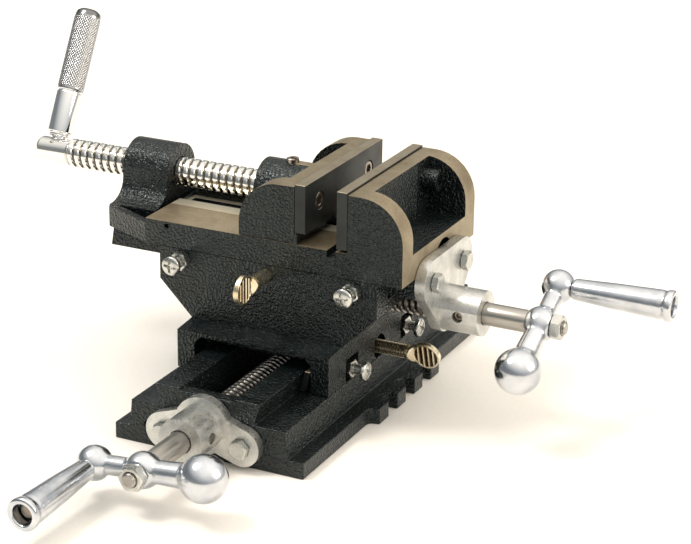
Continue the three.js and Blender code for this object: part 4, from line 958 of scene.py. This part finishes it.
def retaining_screw(node):
    """A headless screw with one slot: its top's height drops where a point is near a line."""
    sides = 96
    turn = angles(sides)
    axis_point, (low, high) = along_axis(node, UP)
    radii = np.linspace(3.3, 0, 24)
    radius = np.broadcast_to(radii[:, None], (len(radii), sides))
    x, y = radius * np.cos(turn), radius * np.sin(turn)
    in_slot = np.clip((0.75 - np.abs(x)) / 0.2 + 0.5, 0, 1)
    top = np.stack([x, y, high - 1.9 * in_slot], -1)
    profile = np.array([(0, low), (2, low), (2, low + 2.4), (3.6, low + 3), (3.6, high - 0.3)])
    body = turned_grid(profile, sides)
    grid = put(place(axis_point, UP, (0.5, 1, 0)), np.vstack([body, top]))
    finish_piece(mesh_of_grid(node + "_detail", grid), node, PLAIN_STEEL, 40)


retaining_screw("spindle_retaining_screw")


# ---------------------------------------------------------------------------------------
# Clamp spindle and its knurled handle
# ---------------------------------------------------------------------------------------

spindle_axis, (spindle_start, spindle_end) = along_axis("clamp_spindle", LEFT)
handle_middle = centre("handle_bar")
hub_middle = spindle_axis + np.array(LEFT) * (spindle_end - HUB_LENGTH / 2) * MM
handle_way = handle_middle - hub_middle
handle_way[0] = 0
spindle_place = place(spindle_axis, LEFT, handle_way)
handle_place = place(hub_middle, handle_way, RIGHT)

# The first colour of each is the painted shade in the roots of the thread or the knurl.
CLAMP_SCREW = root_shaded_metal(
    "chromed_clamp_screw", spindle_axis, LEFT, (spindle_end - HUB_LENGTH) * MM, 7.0, 8.3,
    "#6b655b", "#eceae6", 0.08, 0.3,
)
KNURLED_CHROME = root_shaded_metal(
    "knurled_chrome_plate", hub_middle, -handle_place[1][2], -KNURL_START * MM, 7.75, 8.15,
    "#77787a", "#e4e5e7", 0.06, 0.25,
)


def clamp_spindle(node):
    """A turned spindle: a journal with a groove, a coarse rolled thread with a rounded crest,
    then a plain hub whose end is a shallow dome."""
    thread_low = spindle_start + 34.4
    thread_high = spindle_end - HUB_LENGTH
    profile = rounded([
        (0, spindle_start),
        (6, spindle_start + 0.1),
        (6, thread_low - 19),
        (4.6, thread_low - 18.9),
        (4.6, thread_low - 14),
        (6, thread_low - 13.9),
        (6, thread_low),
        (8.5, thread_low + 0.3),
        (8.5, thread_high - 1),
        (7.4, thread_high),
        (7.4, spindle_end - 2.2),
        (6.2, spindle_end - 0.5),
        (3.5, spindle_end),
        (0, spindle_end),
    ], 0.5)
    profile[1:, 1] = np.maximum.accumulate(profile[1:, 1])
    grid = threaded_grid(profile, 64, [(thread_low, thread_high, CLAMP_PITCH, CLAMP_DEPTH)])
    mesh = mesh_of_grid(node + "_detail", put(spindle_place, grid))
    finish_piece(mesh, node, CLAMP_SCREW, 50)


def handle_bar(node):
    """A turned bar with a diamond knurl: at each point of the grip, the radius rises with the
    smaller of two crossed waves, one winding to the left and one to the right."""
    collar, smooth_end, tip = 7.9, 36.5, 88.7
    profile = rounded([
        (0, -0.5), (4.1, -0.5), (4.1, collar), (6.4, collar + 0.1), (6.4, collar + 1.6),
        (7.8, collar + 2.6),
        (7.8, smooth_end - 1.2), (7.2, smooth_end - 0.8), (7.2, smooth_end), (7.9, smooth_end + 0.8),
        (7.9, tip - 5), (7.2, tip - 2.2), (4.9, tip - 0.6), (0, tip),
    ], 0.6)
    profile[1:, 1] = np.maximum.accumulate(profile[1:, 1])
    sides = 180
    low, high = smooth_end + 1.6, tip - 5.5
    profile = refine(profile, low, high, KNURL_PITCH / 6)
    turn = angles(sides)
    around = round(FULL_TURN * 8 / KNURL_PITCH)
    height = profile[:, 1:]
    left = np.abs(np.mod(turn * around / FULL_TURN + height / KNURL_PITCH / 1.25, 1) * 2 - 1)
    right = np.abs(np.mod(turn * around / FULL_TURN - height / KNURL_PITCH / 1.25, 1) * 2 - 1)
    fade = np.clip(np.minimum(height - low, high - height) / 1.2, 0, 1)
    radius = profile[:, :1] + KNURL_HEIGHT * (np.minimum(left, right) - 0.35) * fade
    grid = np.stack([radius * np.cos(turn), radius * np.sin(turn), height + 0 * turn], -1)
    mesh = mesh_of_grid(node + "_detail", put(handle_place, grid))
    finish_piece(mesh, node, KNURLED_CHROME, 60)


def handle_pin(node):
    """A short round pin with domed ends."""
    out = handle_place[1][1]
    profile = rounded([(0, -6.9), (1.2, -6.9), (1.6, -6.4), (1.6, 6.4), (1.2, 6.9), (0, 6.9)], 0.4)
    where = place(centre(node), out, handle_way)
    mesh = mesh_of_grid(node + "_detail", put(where, turned_grid(profile, 32)))
    finish_piece(mesh, node, PLAIN_STEEL)


clamp_spindle("clamp_spindle")
handle_bar("handle_bar")
handle_pin("handle_pin")


# ---------------------------------------------------------------------------------------
# Stage, light and camera
# ---------------------------------------------------------------------------------------

def stage_floor():
    """A wide flat disc: rings of points whose radius doubles, around a centre."""
    rings = np.concatenate([[0.0], 0.4 * 2.0 ** np.arange(5)])
    mesh = mesh_of_grid("paper_floor", turned_grid(np.column_stack([rings, 0 * rings]), 48))
    mesh.materials.append(floor_paper())
    floor = bpy.data.objects.new("paper_floor", mesh)
    bpy.context.scene.collection.objects.link(floor)


def soft_box(name, position, target, size, power, colour):
    """A square lamp that faces a point."""
    lamp = bpy.data.lights.new(name, "AREA")
    lamp.shape = "RECTANGLE"
    lamp.size, lamp.size_y = size
    lamp.energy = power
    lamp.color = linear(colour)[:3]
    holder = bpy.data.objects.new(name, lamp)
    bpy.context.scene.collection.objects.link(holder)
    holder.location = position
    way = Vector(target) - Vector(position)
    holder.rotation_euler = way.to_track_quat("-Z", "Y").to_euler()


def room_light():
    """A pale room lit from overhead: its brightness rises from the horizon to the ceiling, more
    on the right, by how far each direction leans that way. Low directions are a little cooler."""
    world = bpy.data.worlds.new("pale_room")
    bpy.context.scene.world = world
    world.use_nodes = True
    tree = world.node_tree
    tree.nodes.clear()
    way = add(tree, "ShaderNodeTexCoord").outputs["Generated"]
    lean = add(tree, "ShaderNodeVectorMath", {0: way, 1: (0.28, 0.05, 0.95)}, operation="DOT_PRODUCT")
    lean = lean.outputs["Value"]
    bright = ramp(tree, lean, 0.15, 0.95, 0.3, 1.75)
    tint = blend(tree, ramp(tree, lean, 0.1, 0.7), linear("#eaf1f3"), linear("#fff9ef"))
    shader = add(tree, "ShaderNodeBackground", {"Color": tint, "Strength": bright})
    add(tree, "ShaderNodeOutputWorld", {"Surface": shader.outputs[0]})


stage_floor()
room_light()
soft_box("key_lamp", (-0.7, -0.5, 1.5), (0, 0, 0.08), (0.5, 0.5), 15, "#fffaf2")
soft_box("right_lamp", (1.6, 0.2, 0.8), (0, 0, 0.08), (0.9, 0.6), 12, "#fff3e2")
bpy.context.scene.view_settings.view_transform = "Standard"

CAMERA_POSITION = (0.5264, -1.0459, 0.5103)
CAMERA_LENS = 111.5
CAMERA_AZIMUTH, CAMERA_ELEVATION, CAMERA_ROLL = (math.radians(v) for v in (25.746, 20.722, 0.753))


def aim_camera():
    """Looks from the right of the lower crank, down onto the bed, with a slight roll."""
    lens = bpy.data.cameras.new("bench_view")
    lens.lens = CAMERA_LENS
    lens.sensor_width = 36
    lens.clip_start = 0.05
    camera = bpy.data.objects.new("bench_view", lens)
    bpy.context.scene.collection.objects.link(camera)
    right = Vector((math.cos(CAMERA_AZIMUTH), math.sin(CAMERA_AZIMUTH), 0))
    level = math.cos(CAMERA_ELEVATION)
    back = Vector((
        math.sin(CAMERA_AZIMUTH) * level, -math.cos(CAMERA_AZIMUTH) * level, math.sin(CAMERA_ELEVATION),
    ))
    up = back.cross(right)
    cosine, sine = math.cos(CAMERA_ROLL), math.sin(CAMERA_ROLL)
    axes = Matrix((right * cosine + up * sine, up * cosine - right * sine, back)).transposed()
    camera.matrix_world = Matrix.Translation(CAMERA_POSITION) @ axes.to_4x4()
    bpy.context.scene.camera = camera


aim_camera()
